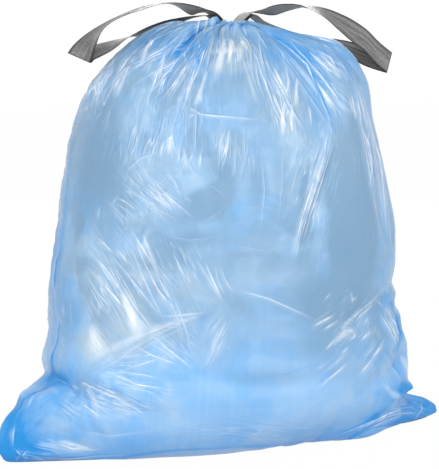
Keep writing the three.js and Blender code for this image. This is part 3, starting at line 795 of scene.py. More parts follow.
def crownCrowding(station, pleats, base):
    # 0 where one taut layer covers pale contents, 1 where film lies in many layers; deeper in the pleat
    # valleys, partly doubled film and partly painted shade
    x, z = base[..., 0], base[..., 2]
    mouth = 0.55 * smoothStep(station, 10.5, 13)
    valleyLayersAndShade = 0.36 * smoothStep(-pleats, 2.5, 11)
    ears = smoothStep(np.abs(x - 9), 222, 262) * (1 - smoothStep(z, 60, 110))
    hem = 0.3 * (1 - smoothStep(z, 4, 46)) + 0.3 * (1 - smoothStep(z, 1, 12))
    rightTip = 0.25 * smoothStep(x, 250, 290)
    return np.clip(mouth + valleyLayersAndShade + 0.75 * ears + rightTip + hem, 0, 1)


def makePiece(name, points, faces):
    mesh = bpy.data.meshes.new(name)
    mesh.from_pydata((points / 1000).tolist(), [], faces)
    mesh.flip_normals()
    mesh.polygons.foreach_set("use_smooth", [True] * len(mesh.polygons))
    piece = bpy.data.objects.new(name, mesh)
    bpy.context.collection.objects.link(piece)
    return piece


def dressPiece(piece, material, node):
    piece.data.materials.append(material)
    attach(piece, "root")
    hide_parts(node)


def closedMesh(name, grid, capRows=7):
    # rings of points as a closed skin, with the underside drawn in to a line and the mouth's floor flat
    rows, columns = grid.shape[:2]
    low = grid[0]
    under = []
    for k in range(capRows, 0, -1):
        share = k / (capRows + 0.5)
        ring = low.copy()
        ring[:, 1] = lerp(low[:, 1], low[:, 1].mean(), share)
        ring[:, 0] = lerp(low[:, 0], low[:, 0].mean(), 0.35 * share)
        under.append(ring)
    rings = np.concatenate([np.array(under), grid])
    count = len(rings)
    faces = [tuple(range(columns))[::-1]]
    for r in range(count - 1):
        for c in range(columns):
            n = (c + 1) % columns
            faces.append((r * columns + c, r * columns + n, (r + 1) * columns + n, (r + 1) * columns + c))
    faces.append(tuple(range((count - 1) * columns, count * columns)))
    return makePiece(name, rings.reshape(-1, 3), faces), capRows


def keepValues(piece, name, values):
    # one number, or one vector, for each point of the mesh
    kind, slot = ("FLOAT", "value") if values.ndim == 1 else ("FLOAT_VECTOR", "vector")
    layer = piece.data.attributes.new(name, kind, "POINT")
    layer.data.foreach_set(slot, values.ravel())


def addUv(piece, places):
    layer = piece.data.uv_layers.new(name="lay")
    corner = np.empty(len(piece.data.loops), int)
    piece.data.loops.foreach_get("vertex_index", corner)
    layer.data.foreach_set("uv", places[corner].ravel())


filmIor = 1.5
filmFinish = {
    # pale also carries painted highlights; shade is painted shade, with the contents' mottled tone; deep also
    # carries painted shade in valleys and beside folds; white is the colour of the painted highlights
    "pale": (0.575, 0.69, 0.75), "plain": (0.13, 0.43, 0.85), "shade": (0.165, 0.31, 0.47),
    "deep": (0.006, 0.22, 0.56), "white": (0.93, 0.97, 1.0),
    "roughness": 0.24, "earRoughness": 0.6, "gloss": 0.36, "coat": 0.08, "coatRoughness": 0.08,
    "alpha": 0.8, "crowdAlpha": 0.22,
    # heights in millimetres
    "gatherHeight": 0.8, "streakHeight": 0.9, "crumpleHeight": 2.4, "lineHeight": 0.7, "crinkleHeight": 0.15,
    "gatherWhite": 0.6, "streakWhite": 0.6, "facetWhite": 0.24,
    "valleyDeep": 0.5, "lineDeep": 0.8, "lineWidth": 0.9, "drawLineTone": 0.2, "crumpleTone": 0.3,
    # scale along each axis, detail, distortion
    "gatherGrain": ((0.5, 0.5, 1.0), 1.5, 0.2), "streakGrain": ((0.16, 0.016, 0), 1.0, 0.1),
    "crumpleGrain": ((60, 60, 44), 4.0, 0.9), "crinkleGrain": ((104, 104, 80), 3.0, 0.25),
    "frayGrain": ((70, 70, 60), 2.0), "drawLineGrain": ((230, 230, 3.5), 1.0),
    "breakGrain": ((34, 34, 16), 2.0),
    # how thin a ridge is along the middle of its noise, and how far beside it its line of painted shade runs
    "softRidge": 9, "streakRidge": 10, "crinkleRidge": 13, "darkRidge": 20, "sharpRidge": 24,
    "gatherBeside": 0.055, "streakBeside": 0.06,
}
fillingFinish = {
    "light": (0.86, 0.90, 0.95), "dark": (0.52, 0.64, 0.80), "roughness": 0.55,
    "cloudGrain": ((14, 14, 17), 4.0, 0.8), "darkest": 0.38, "contrast": 4.0,
}
tapeFinish = {
    "light": (0.20, 0.198, 0.193),
    "dark": (0.07, 0.07, 0.07),
    "edge": (0.012, 0.012, 0.012),
    # the paler colour of the painted light near the mouth
    "thin": (0.42, 0.40, 0.37),
    "roughness": 0.45,
    "gloss": 0.3,
    "grain": ((24, 260, 1), 4.0, 0.4), "fineGrain": ((420, 520, 1), 2.0),
    "bumpGrain": ((60, 420, 1), 3.0, 0.4),
}


class Value:
    # a number that a material works out at each point; sums of such numbers lay out its nodes
    def __init__(self, desk, socket):
        self.desk, self.socket = desk, socket

    def __add__(self, other):
        return self.desk.math("ADD", self, other)

    def __sub__(self, other):
        return self.desk.math("SUBTRACT", self, other)

    def __rsub__(self, other):
        return self.desk.math("SUBTRACT", other, self)

    def __mul__(self, other):
        return self.desk.math("MULTIPLY", self, other)

    def __truediv__(self, other):
        return self.desk.math("DIVIDE", self, other)

    def __abs__(self):
        return self.desk.math("ABSOLUTE", self)

    def upTo(self, other):
        return self.desk.math("MINIMUM", self, other)

    def orMore(self, other):
        return self.desk.math("MAXIMUM", self, other)

    def ramp(self, low, high):
        # 0 below the low end, 1 above the high end
        return ((self - low) / (high - low)).orMore(0.0).upTo(1.0)

    def hump(self, middle, width):
        # 1 at the middle, falling off smoothly on both sides
        off = (self - middle) / width
        return self.desk.math("EXPONENT", off * off * -1.0)

    def creases(self, sharpness):
        # thin ridges along the middle value of a noise
        return (1.0 - abs(self - 0.5) * sharpness).orMore(0.0)

    __radd__, __rmul__ = __add__, __mul__


class NodeDesk:
    # a material, with a small helper that lays its nodes out in a row and links them
    def __init__(self, name):
        self.material = bpy.data.materials.new(name)
        self.material.use_nodes = True
        self.tree = self.material.node_tree
        self.tree.nodes.clear()
        self.out = self.add("OutputMaterial")

    def add(self, kind, **settings):
        node = self.tree.nodes.new("ShaderNode" + kind)
        count = len(self.tree.nodes)
        node.location = (190 * (count // 5) - 1400, 300 - 190 * (count % 5))
        for key, value in settings.items():
            setattr(node, key, value)
        return node

    def feed(self, socket, value):
        # a socket takes a fixed number or colour, or a link
        if isinstance(value, (int, float)):
            socket.default_value = value
        elif isinstance(value, tuple):
            socket.default_value = value if len(value) == len(socket.default_value) else (*value, 1)
        else:
            self.tree.links.new(getattr(value, "socket", value), socket)

    def shader(self, **inputs):
        # the material's main shader; each input is named by its words run together
        node = self.add("BsdfPrincipled")
        names = {socket.name.replace(" ", "").lower(): socket for socket in node.inputs}
        for name, value in inputs.items():
            self.feed(names[name.lower()], value)
        self.feed(self.out.inputs[0], node.outputs[0])

    def attribute(self, name, output="Fac"):
        return Value(self, self.add("Attribute", attribute_name=name).outputs[output])

    def parts(self, kind, source):
        # the three numbers of a vector or a colour
        node = self.add("Separate" + kind)
        self.feed(node.inputs[0], source)
        return [Value(self, socket) for socket in node.outputs]

    def math(self, operation, *values):
        node = self.add("Math", operation=operation)
        for socket, value in zip(node.inputs, values):
            self.feed(socket, value)
        return Value(self, node.outputs[0])

    def mixColor(self, first, second, factor):
        node = self.add("Mix", data_type="RGBA")
        ends = [socket for socket in node.inputs if socket.type == "RGBA"]
        for socket, value in zip((*ends, node.inputs[0]), (first, second, factor)):
            self.feed(socket, value)
        return [socket for socket in node.outputs if socket.type == "RGBA"][0]

    def noise(self, place, scale, detail=2.0, distortion=0.0):
        stretch = self.add("VectorMath", operation="MULTIPLY")
        self.feed(stretch.inputs[0], place)
        self.feed(stretch.inputs[1], scale)
        node = self.add("TexNoise")
        for name, value in (("Scale", 1.0), ("Detail", detail), ("Distortion", distortion)):
            self.feed(node.inputs[name], value)
        self.feed(node.inputs["Vector"], stretch.outputs[0])
        return Value(self, node.outputs[0])

    def bump(self, height, strength, distance):
        node = self.add("Bump")
        for name, value in (("Strength", strength), ("Distance", distance), ("Height", height)):
            self.feed(node.inputs[name], value)
        return node.outputs[0]


def filmMaterial():
    desk, look = NodeDesk("blueFilm"), filmFinish
    skin = desk.attribute("skin", "Vector")
    loose = desk.attribute("filmTone", "Alpha")
    # layers of film, with painted shade in the pleat valleys; contents showing through, with painted light;
    # painted shade, with the contents' mottled tone
    crowding, pale, shade = desk.parts("Color", desk.attribute("filmTone", "Color"))

    gatherMask = desk.attribute("gatherMask")
    gatherNoise = desk.noise(desk.attribute("gathers", "Vector"), *look["gatherGrain"])
    gathers = gatherNoise.creases(look["softRidge"]) * gatherMask
    # painted shade: deeper blue in the valleys beside the gathers and the streaks
    valleyLayersAndShade = (gatherNoise - look["gatherBeside"]).creases(look["darkRidge"]) * gatherMask
    streakPlace = desk.attribute("streaks", "Vector")
    streakMask = desk.parts("XYZ", streakPlace)[2]
    streakNoise = desk.noise(streakPlace, *look["streakGrain"])
    streaks = streakNoise.creases(look["streakRidge"]) * streakMask
    streakValleyShade = (streakNoise - look["streakBeside"]).creases(look["darkRidge"])
    valleyLayersAndShade = valleyLayersAndShade.orMore(streakValleyShade * streakMask)
    crumple = desk.noise(skin, *look["crumpleGrain"]) * loose

    # sharp folds: a painted highlight on one side, with a painted lit facet beside it, painted shade on the
    # other
    fray = desk.noise(skin, *look["frayGrain"]).ramp(0.3, 0.6)
    ridges, lines, facets, foldShadeLines = [], [], [], []
    for layer in range(foldLayers):
        distance, white, dark = desk.parts("XYZ", desk.attribute(foldName(layer), "Vector"))
        ridges.append(distance.hump(0.0, 1.4) * white.orMore(dark))
        lines.append(distance.hump(0.4, look["lineWidth"]) * white)
        facets.append(distance.ramp(-0.4, 0.6) * distance.hump(0.4, 3.6) * white)
        foldShadeLines.append(distance.hump(-0.9, look["lineWidth"]) * dark)
    foldHighlight = reduce(Value.orMore, lines) * (0.35 + 0.65 * fray)
    foldLitFacet = reduce(Value.orMore, facets) * look["facetWhite"]
    foldShade = reduce(Value.orMore, foldShadeLines)

    # fine crinkles where the film lies loose, and the faint lines that run up all blown film
    crinkle = desk.noise(skin, *look["crinkleGrain"]).creases(look["crinkleRidge"]) * loose.ramp(0.3, 0.9)
    drawLines = desk.noise(skin, *look["drawLineGrain"]) - 0.5

    # painted highlights along some ridges of the drawn film, partly stress whitening; painted shade in its
    # valleys, partly doubled film
    breaks = desk.noise(skin, *look["breakGrain"]).ramp(0.44, 0.6)
    paintedHighlights = 0.95 * gatherNoise.creases(look["sharpRidge"]) + 0.16 * gatherNoise.creases(look["softRidge"])
    paintedHighlights = paintedHighlights * gatherMask * look["gatherWhite"]
    drawnHighlights = streakNoise.creases(look["sharpRidge"]) * streakMask
    paintedHighlights = (paintedHighlights + drawnHighlights * look["streakWhite"]) * breaks
    # painted highlights on the facets that catch the light
    glow = desk.attribute("glow") * (0.6 + 0.4 * fray)
    paintedHighlights = paintedHighlights.orMore(foldHighlight).orMore(foldLitFacet).orMore(glow).upTo(1.0)
    layersAndPaintedShade = crowding + valleyLayersAndShade * look["valleyDeep"] + foldShade * look["lineDeep"]
    milk = pale + drawLines * look["drawLineTone"] + (crumple - 0.3) * look["crumpleTone"]

    color = desk.mixColor(look["plain"], look["pale"], milk)
    color = desk.mixColor(color, look["shade"], shade)
    color = desk.mixColor(color, look["deep"], layersAndPaintedShade.upTo(1.0))
    color = desk.mixColor(color, look["white"], paintedHighlights)
    height = gathers * look["gatherHeight"] + streaks * look["streakHeight"]
    height = height + reduce(Value.__add__, ridges) * look["lineHeight"]
    height = height + crinkle * look["crinkleHeight"] + crumple * look["crumpleHeight"]
    normal = desk.bump(height, 1.0, 0.001)
    desk.shader(
        baseColor=color, normal=normal, coatNormal=normal, ior=filmIor, specularIorLevel=look["gloss"],
        alpha=(look["alpha"] + look["crowdAlpha"] * layersAndPaintedShade).upTo(1.0),
        roughness=look["roughness"] + crowding * (look["earRoughness"] - look["roughness"]),
        coatWeight=look["coat"], coatRoughness=look["coatRoughness"],
    )
    return desk.material


def fillingMaterial():
    desk = NodeDesk("paleFilling")
    cloud = desk.noise(desk.add("TexCoord").outputs["Object"], *fillingFinish["cloudGrain"])
    cloud = ((cloud - fillingFinish["darkest"]) * fillingFinish["contrast"]).orMore(0.0).upTo(1.0)
    color = desk.mixColor(fillingFinish["dark"], fillingFinish["light"], cloud)
    desk.shader(baseColor=color, roughness=fillingFinish["roughness"])
    return desk.material


def tapeMaterial():
    desk = NodeDesk("greyTape")
    lay = desk.add("UVMap", uv_map="lay").outputs[0]
    grain = desk.noise(lay, *tapeFinish["grain"]).ramp(0.4, 0.6)
    fine = desk.noise(lay, *tapeFinish["fineGrain"]).ramp(0.4, 0.6)
    color = desk.mixColor(tapeFinish["dark"], tapeFinish["light"], 0.6 * grain + 0.4 * fine)
    # painted light near the mouth: paler where the tape's shaded underside shows, partly light passing
    # through the thin tape
    color = desk.mixColor(color, tapeFinish["thin"], desk.attribute("paintedLightNearMouth"))
    color = desk.mixColor(color, tapeFinish["edge"], desk.attribute("edgeDark"))
    normal = desk.bump(desk.noise(lay, *tapeFinish["bumpGrain"]), 0.5, 0.0008)
    desk.shader(
        baseColor=color, normal=normal, ior=filmIor,
        specularIorLevel=tapeFinish["gloss"], roughness=tapeFinish["roughness"],
    )
    return desk.material


usualHardness = 1.5

# How white the contents show through, with some painted highlights, by place in the photograph: centre, half
# sizes, amount, and the hardness of the rim where it isn't the usual one.
milkPatches = [
    (150, 96, 44, 34, 0.35), (140, 150, 30, 26, 0.3), (162, 184, 34, 38, 0.28, 2.5), (118, 226, 34, 18, 0.2),
    (228, 100, 54, 48, 0.3), (230, 56, 24, 14, 1), (262, 60, 20, 24, 0.3), (292, 96, 30, 40, 0.25),
    (94, 345, 15, 13, 0.75, 1.2), (133, 318, 9, 15, 1, 1.2), (150, 330, 20, 9, 0.4, 1.2),
    (346, 333, 11, 6, 0.8, 1.2), (250, 345, 60, 22, 0.25), (300, 190, 24, 60, 0.2, 2),
    (112, 296, 34, 46, 0.55), (128, 322, 20, 14, 0.3), (250, 180, 36, 40, 0.15, 2),
    (72, 447, 20, 6, 0.6, 1.2), (230, 280, 80, 44, 0.25), (155, 58, 10, 16, 0.4), (168, 62, 7, 16, 0.3),
    (288, 110, 12, 22, 0.4), (328, 66, 12, 14, 0.35), (330, 96, 6, 12, 0.5), (182, 90, 6, 16, 0.3),
    (182, 340, 14, 20, 0.3, 1.2), (48, 425, 22, 14, 0.25), (140, 424, 60, 16, 0.4), (330, 416, 44, 12, 0.2),
    (40, 420, 20, 20, 0.25), (206, 21, 9, 7, 0.5), (238, 28, 20, 5, 0.3), (120, 150, 10, 40, 0.2, 2),
    (220, 326, 10, 22, 0.25), (170, 300, 24, 30, 0.15),
]
# Painted shade: where it shows greyer and deeper, over hollows.
shadePatches = [
    (98, 156, 26, 56, 0.5), (352, 212, 25, 92, 0.6, 4), (208, 202, 22, 11, 0.5, 1.4),
    (186, 217, 18, 6, 0.25, 1.2), (224, 186, 8, 16, 0.2), (250, 236, 46, 16, 0.3), (150, 262, 24, 10, 0.3),
    (82, 386, 12, 14, 0.5), (258, 186, 9, 30, 0.35, 2), (306, 212, 6, 44, 0.4), (270, 380, 34, 9, 0.3),
    (226, 184, 11, 18, 0.25), (330, 300, 40, 22, 0.3), (128, 206, 10, 8, 0.25), (282, 168, 8, 24, 0.25),
    (196, 238, 16, 8, 0.25), (300, 350, 30, 10, 0.2), (352, 338, 44, 46, 0.42, 2), (150, 72, 40, 20, 0.15),
    (226, 160, 24, 30, 0.35, 2), (192, 116, 8, 20, 0.3), (244, 84, 30, 12, 0.2), (140, 228, 30, 8, 0.2),
    (178, 250, 30, 12, 0.15), (262, 262, 60, 10, 0.15), (250, 404, 110, 22, 0.1, 2),
]
# Where the film lies loose and crinkled.
loosePatches = [
    (156, 186, 40, 44, 1, 2), (216, 214, 40, 18, 0.5), (270, 226, 40, 24, 0.4), (150, 104, 32, 30, 0.7),
    (232, 158, 26, 28, 0.8, 2), (292, 180, 22, 56, 0.4), (94, 346, 16, 16, 0.8), (346, 334, 14, 9, 1),
    (190, 262, 60, 30, 0.4), (206, 22, 12, 9, 0.9), (60, 430, 40, 24, 0.4), (110, 232, 24, 26, 0.6),
    (240, 92, 40, 14, 0.4),
]
# Painted highlights on facets that catch the light, in the photograph: from, to, half widths at both ends,
# amount.
seenGlints = [
    (224, 40, 218, 70, 2, 4, 0.8), (232, 43, 229, 62, 3, 2, 0.85), (240, 46, 240, 60, 3, 2, 0.7),
    (212, 51, 246, 49, 3, 4, 0.6), (118, 290, 139, 331, 0.8, 6.5, 1), (90, 328, 97, 352, 3, 7, 0.55),
    (332, 345, 352, 329, 1.5, 3.5, 0.5), (344, 330, 356, 332, 1.5, 2, 0.5), (58, 441, 90, 450, 1, 1.8, 0.7),
    (172, 134, 168, 151, 1.5, 3.5, 0.6), (284, 103, 283, 133, 1.2, 2.2, 0.8),
    (292, 105, 292, 131, 1.2, 1.8, 0.7), (275, 68, 288, 99, 0.8, 2.6, 0.8), (297, 79, 296, 104, 1, 2, 0.6),
    (317, 82, 331, 105, 0.8, 3, 0.85), (318, 47, 339, 77, 0.8, 2.6, 0.6), (311, 51, 328, 70, 0.8, 2, 0.5),
    (151, 35, 142, 63, 0.8, 2.2, 0.7), (165, 50, 158, 75, 0.8, 2.2, 0.7), (131, 64, 116, 95, 0.8, 2.4, 0.5),
    (197, 62, 186, 97, 0.8, 2.6, 0.7), (207, 70, 196, 105, 0.8, 2.6, 0.6), (184, 150, 186, 167, 1, 2.6, 0.4),
    (87, 384, 97, 411, 0.8, 2.6, 0.4), (81, 383, 125, 403, 1, 1.8, 0.6), (352, 96, 356, 118, 0.8, 1.8, 0.6),
    (106, 266, 128, 301, 0.8, 1.8, 0.5), (143, 234, 159, 275, 0.8, 3.4, 0.45),
    (148, 331, 198, 316, 3, 1.2, 0.35), (94, 357, 142, 334, 5, 2.5, 0.3), (362, 313, 343, 328, 1, 2, 0.45),
    (216, 18, 205, 30, 1, 2, 0.4), (96, 412, 88, 400, 1, 3, 0.35), (243, 60, 256, 100, 0.8, 2.6, 0.35),
    (360, 90, 368, 128, 0.8, 2, 0.4), (374, 150, 384, 214, 0.8, 2, 0.35),
    (326, 140, 310, 190, 0.8, 2.4, 0.4), (196, 260, 222, 300, 0.8, 2, 0.3),
    (404, 357, 408, 372, 1.5, 2.5, 0.4), (386, 386, 402, 404, 2, 4, 0.3),
]
# Where several layers of film lie together and show deep blue.
deepPatches = [
    (46, 380, 16, 8, 0.8), (60, 374, 16, 12, 0.35), (168, 50, 60, 18, 0.22, 2), (300, 66, 50, 30, 0.22, 2),
    (14, 440, 9, 26, 0.35), (22, 457, 16, 7, 0.5), (421, 411, 17, 12, 0.75, 2), (384, 404, 30, 18, 0.14, 2),
    (404, 392, 9, 10, 0.7), (392, 418, 26, 7, 0.35), (47, 350, 7, 30, 0.35), (196, 48, 8, 26, 0.3),
    (296, 52, 26, 9, 0.45), (318, 88, 9, 30, 0.4), (276, 36, 22, 8, 0.35), (346, 58, 18, 14, 0.25),
    (392, 300, 7, 9, 0.4), (402, 350, 7, 34, 0.3), (56, 262, 6, 40, 0.3), (250, 424, 150, 20, 0.14),
    (120, 436, 60, 16, 0.15), (160, 42, 26, 10, 0.2), (338, 430, 70, 14, 0.15), (64, 300, 14, 60, 0.12),
]


def blobs(film, patches):
    total = np.zeros(film["across"].shape)
    for x, y, wide, high, amount, *ownHardness in patches:
        hardness = ownHardness[0] if ownHardness else usualHardness
        far = ((film["across"] - x) / wide) ** 2 + ((film["up"] - y) / high) ** 2
        total += amount * np.exp(-0.7 * far**hardness) * film["seen"]
    return total


def paintedGlints(film):
    total = np.zeros(film["across"].shape)
    for fromX, fromY, toX, toY, thin, thick, amount in seenGlints:
        line = np.array([toX - fromX, toY - fromY])
        share, x, y = nearestOn(film["across"] - fromX, film["up"] - fromY, line)
        gap = np.hypot(x, y) / lerp(thin, thick, share)
        shine = amount * np.exp(-(gap**3)) * arch(share, 0.1, 0.85, 0.6)
        total = np.maximum(total, shine * film["seen"])
    return total


# How the film's tones are mixed from its noises and patches, each from 0 to 1.
filmTones = {
    "milk": 0.26, "milkNoise": 0.12, "milkLumps": 0.13, "milkPatches": 0.75, "milkRelief": 0.07,
    "hiddenMilk": 0.22, "hiddenShade": -0.26, "hiddenCalm": 0.4,
    "shade": 0.04, "shadeByHeight": 0.56, "shadeHeights": (80, 200),
    "paper": 0.2, "finePaper": 0.16, "paperHeights": (110, 190), "looseLeast": 0.2,
}


def buildFilm():
    film, tones = shapeFilm(), filmTones
    piece, capRows = closedMesh("drawnFilm", film["grid"])
    angle, lift, height = film["angle"], film["lift"], film["grid"][..., 2]
    hidden = 1 - film["facing"]
    calm = 1 - tones["hiddenCalm"] * hidden
    lumps = patchTones(angle, lift, 24, 52, 61) + 0.7 * patchTones(angle, lift, 60, 21, 62)
    # contents showing through, with some painted highlights
    pale = blobs(film, milkPatches)
    milk = tones["milk"] + tones["milkNoise"] * skinNoise(angle, lift, 9, 90, 31)
    milk += tones["milkLumps"] * lumps * calm + tones["milkPatches"] * pale
    # painted light: paler on raised relief and darker in its hollows, and paler on the sides turned away from
    # the front
    milk += tones["milkRelief"] * np.clip(film["small"], -2, 4) + tones["hiddenMilk"] * hidden
    paper = tones["paper"] * patchTones(angle, lift, 30, 40, 63)
    paper += tones["finePaper"] * patchTones(angle, lift, 52, 24, 64)
    paper *= calm * (1 - 0.75 * np.clip(1.4 * pale, 0, 1)) * (1 - 0.8 * film["quiet"])
    # greyer higher up, painted shade over hollows, and the contents' mottled tone
    shade = tones["shade"] + tones["shadeByHeight"] * smoothStep(height, *tones["shadeHeights"])
    shade += blobs(film, shadePatches) + paper * (0.3 + 0.7 * smoothStep(height, *tones["paperHeights"]))
    # a random tone on the sides turned away from the front, and less painted shade there
    shade += (0.2 * np.clip(skinNoise(angle, lift, 8, 110, 33), 0, 1) + tones["hiddenShade"]) * hidden
    loose = blobs(film, loosePatches) + smoothStep(skinNoise(angle, lift, 10, 80, 35), -0.1, 0.6) * hidden
    crowding = film["crowding"] + blobs(film, deepPatches)
    tone = np.stack([np.clip(part, 0, 1) for part in (crowding, milk, shade, loose)], -1)
    tone[..., 3] = lerp(tones["looseLeast"], 1, tone[..., 3])

    def withUnderside(values):
        return np.concatenate([np.repeat(values[:1], capRows, axis=0), values])

    layer = piece.data.color_attributes.new("filmTone", "FLOAT_COLOR", "POINT")
    layer.data.foreach_set("color", withUnderside(tone).ravel())
    keepValues(piece, "glow", withUnderside(paintedGlints(film)).ravel())
    keepValues(piece, "gatherMask", withUnderside(film["gatherMask"]).ravel())
    for name in ["streaks", "gathers", "skin", *map(foldName, range(foldLayers))]:
        keepValues(piece, name, withUnderside(film[name]).reshape(-1, 3))
    dressPiece(piece, filmMaterial(), "film_bag")
    print("film made:", len(piece.data.polygons), "faces")


# The contents, as far as they show through the film: pale, lumpy, and clear of the film all round.
fillingShape = {
    "columns": 150, "rows": 84, "inset": 11, "crownInset": 15,
    "lumps": [(15, 15, 0.9, 51), (6, 40, 2.2, 52)],  # height, cells round, cells to a station, seed
}


def buildFilling():
    columns, rows = fillingShape["columns"], fillingShape["rows"]
    angle, station = np.meshgrid(np.arange(columns) / columns * 360, np.linspace(0.9, 12.0, rows))
    base = smoothFilm(angle, station, ears=False)
    inset = fillingShape["inset"] + fillingShape["crownInset"] * smoothStep(station, 6, 10)
    for height, cells, dense, seed in fillingShape["lumps"]:
        inset = inset + height * (1 - 2 * creaseCells(angle / 360 * cells, station * dense, cells, seed))
    grid = base - outward(base) * inset[..., None]
    grid[..., 2] = np.clip(grid[..., 2], 4, filmShape["mouthHeight"] - filmShape["mouthDepth"] - 8)
    piece, _ = closedMesh("paleFilling", grid - boxMiddle, capRows=1)
    dressPiece(piece, fillingMaterial(), "film_bag")
    print("filling made")


# Values of the draw tape, in millimetres where nothing else is said.
tapeShape = {
    "width": 28.0, "thickness": 0.35, "stack": 1.1, "clearance": 0.3, "solidThickness": 0.8,
    "leftWeld": (-175, 5, -43), "rightWeld": (235, 3, -52),  # heights below the mouth
    "leftWeldEdge": (0.8, -0.45, -0.4), "rightWeldEdge": (-0.4, -0.25, -0.88),
    "loopRise": 18, "steps": 14, "columns": 12, "curl": 1.2, "crease": 0.5, "kink": 0.28, "thinPale": 0.5,
    "weldRib": 0.12, "weldLength": 9, "flatLength": 0.6,  # the last in metres
}


def setLength(direction, length):
    return np.array(direction) / np.linalg.norm(direction) * length


def loopPoint(weld, share, depth, rise, across):
    x = lerp(filmShape["mouthOffset"], tapeShape[weld][0], share)
    return (x, depth, filmShape["mouthHeight"] + rise), across


def mouthDip(lift):
    low = filmShape["mouthHeight"] - filmShape["mouthDepth"] + lift
    spots = [(lift - 11, low + 11), (-5, low + 1), (0, low), (5, low + 1), (11 - lift, low + 11)]
    return [((filmShape["mouthOffset"] + x, 0, z), (0, -1, 0)) for x, z in spots]


def weldEnd(weld, away, edge):
    x, y, z = tapeShape[weld]
    spot = np.array([x, y, filmShape["mouthHeight"] + z]) + np.array(away)
    return tuple(spot), tapeShape[edge]


backLift = tapeShape["clearance"] + tapeShape["solidThickness"] / 2
frontLift = backLift + 2 * tapeShape["stack"]
rise = tapeShape["loopRise"]
frontRoute = [
    weldEnd("leftWeld", (0, 0, 0), "leftWeldEdge"),
    loopPoint("leftWeld", 0.95, 5, -28, (0.4, -0.85, -0.3)),
    loopPoint("leftWeld", 0.855, 2, -9, (-0.2, -0.95, -0.15)),
    loopPoint("leftWeld", 0.73, 0, 4, (-0.3, -0.95, -0.06)),
    loopPoint("leftWeld", 0.59, -2, rise - 5, (-0.33, -0.93, -0.12)),
    loopPoint("leftWeld", 0.46, -3, rise + 1, (-0.38, -0.92, -0.04)),
    loopPoint("leftWeld", 0.375, -4, rise, (-0.4, -0.9, 0.12)),
    loopPoint("leftWeld", 0.27, -4, rise - 6, (-0.32, -0.85, 0.4)),
    loopPoint("leftWeld", 0.19, -3, 11, (-0.15, -0.97, 0.15)),
    loopPoint("leftWeld", 0.12, 0, 8.5, (0, -1, 0)),
    *mouthDip(frontLift),
    loopPoint("rightWeld", 0.12, 0, 10, (0, -1, 0)),
    loopPoint("rightWeld", 0.18, -2, 11, (-0.2, -0.95, 0.15)),
    loopPoint("rightWeld", 0.26, -4, 12, (-0.36, -0.84, 0.42)),
    loopPoint("rightWeld", 0.34, -4, rise - 3, (-0.4, -0.86, 0.3)),
    loopPoint("rightWeld", 0.42, -4, rise - 2, (-0.42, -0.9, 0.1)),
    loopPoint("rightWeld", 0.495, -3, rise - 4, (-0.42, -0.88, -0.2)),
    loopPoint("rightWeld", 0.58, -1, 8, (-0.4, -0.8, -0.45)),
    loopPoint("rightWeld", 0.66, 0, -1, (-0.35, -0.6, -0.7)),
    loopPoint("rightWeld", 0.75, 1, -12, (-0.32, -0.35, -0.88)),
    loopPoint("rightWeld", 0.84, 2, -24, (-0.32, -0.28, -0.9)),
    loopPoint("rightWeld", 0.92, 3, -39, (-0.36, -0.25, -0.9)),
    weldEnd("rightWeld", (0, 0, 0), "rightWeldEdge"),
]


backRoute = [
    weldEnd("leftWeld", setLength((0.4, 0.9, -0.2), tapeShape["stack"]), "leftWeldEdge"),
    loopPoint("leftWeld", 0.92, 11, -38, (0.1, -0.85, -0.5)),
    loopPoint("leftWeld", 0.75, 20, -29, (-0.35, -0.85, -0.4)),
    loopPoint("leftWeld", 0.6, 30, -19, (-0.36, -0.88, 0.05)),
    loopPoint("leftWeld", 0.42, 38, -12, (-0.36, -0.8, 0.48)),
    loopPoint("leftWeld", 0.31, 28, -4, (-0.3, -0.85, 0.35)),
    loopPoint("leftWeld", 0.2, 9, 4, (-0.1, -0.98, 0.05)),
    loopPoint("leftWeld", 0.12, 1, 4.5, (0, -1, 0)),
    *mouthDip(backLift),
    loopPoint("rightWeld", 0.12, 1, 6.5, (0, -1, 0)),
    loopPoint("rightWeld", 0.23, 18, -1, (-0.1, -0.98, 0.05)),
    loopPoint("rightWeld", 0.34, 34, -8, (-0.3, -0.93, 0.15)),
    loopPoint("rightWeld", 0.48, 42, -15, (-0.36, -0.9, 0.05)),
    loopPoint("rightWeld", 0.64, 44, -23, (-0.4, -0.88, -0.15)),
    loopPoint("rightWeld", 0.78, 36, -32, (-0.45, -0.7, -0.5)),
    loopPoint("rightWeld", 0.89, 20, -44, (-0.42, -0.4, -0.82)),
    weldEnd("rightWeld", setLength((-0.1, 0.97, -0.2), tapeShape["stack"]), "rightWeldEdge"),
]


def unit(vectors):
    return vectors / np.linalg.norm(vectors, axis=1, keepdims=True)


def tapeRelief(s, v, length, free, ends, random):
    # lengthwise creases, short kinks across, and the ribs pressed into the welds at both ends
    relief = np.zeros(s.shape)
    for _ in range(5):
        spot, slope = random.uniform(-0.8, 0.8), random.uniform(-0.004, 0.004)
        start = random.uniform(0, length)
        gap = np.abs(v - spot - slope * (s - start))
        depth = tapeShape["crease"] * random.uniform(-1, 1)
        relief += depth * np.exp(-gap * 9) * bell((s - start) / 80) * free
    for _ in range(26):
        start, lean = random.uniform(10, length - 10), random.uniform(-8, 8)
        gap = np.abs(s - start - lean * v)
        relief += tapeShape["kink"] * random.uniform(-1, 1) * np.exp(-gap / 1.8) * (0.3 + 0.7 * ends)
    weld = np.minimum(s, length - s)
    return relief + tapeShape["weldRib"] * np.sin(weld * 2.6) * (weld < tapeShape["weldLength"])


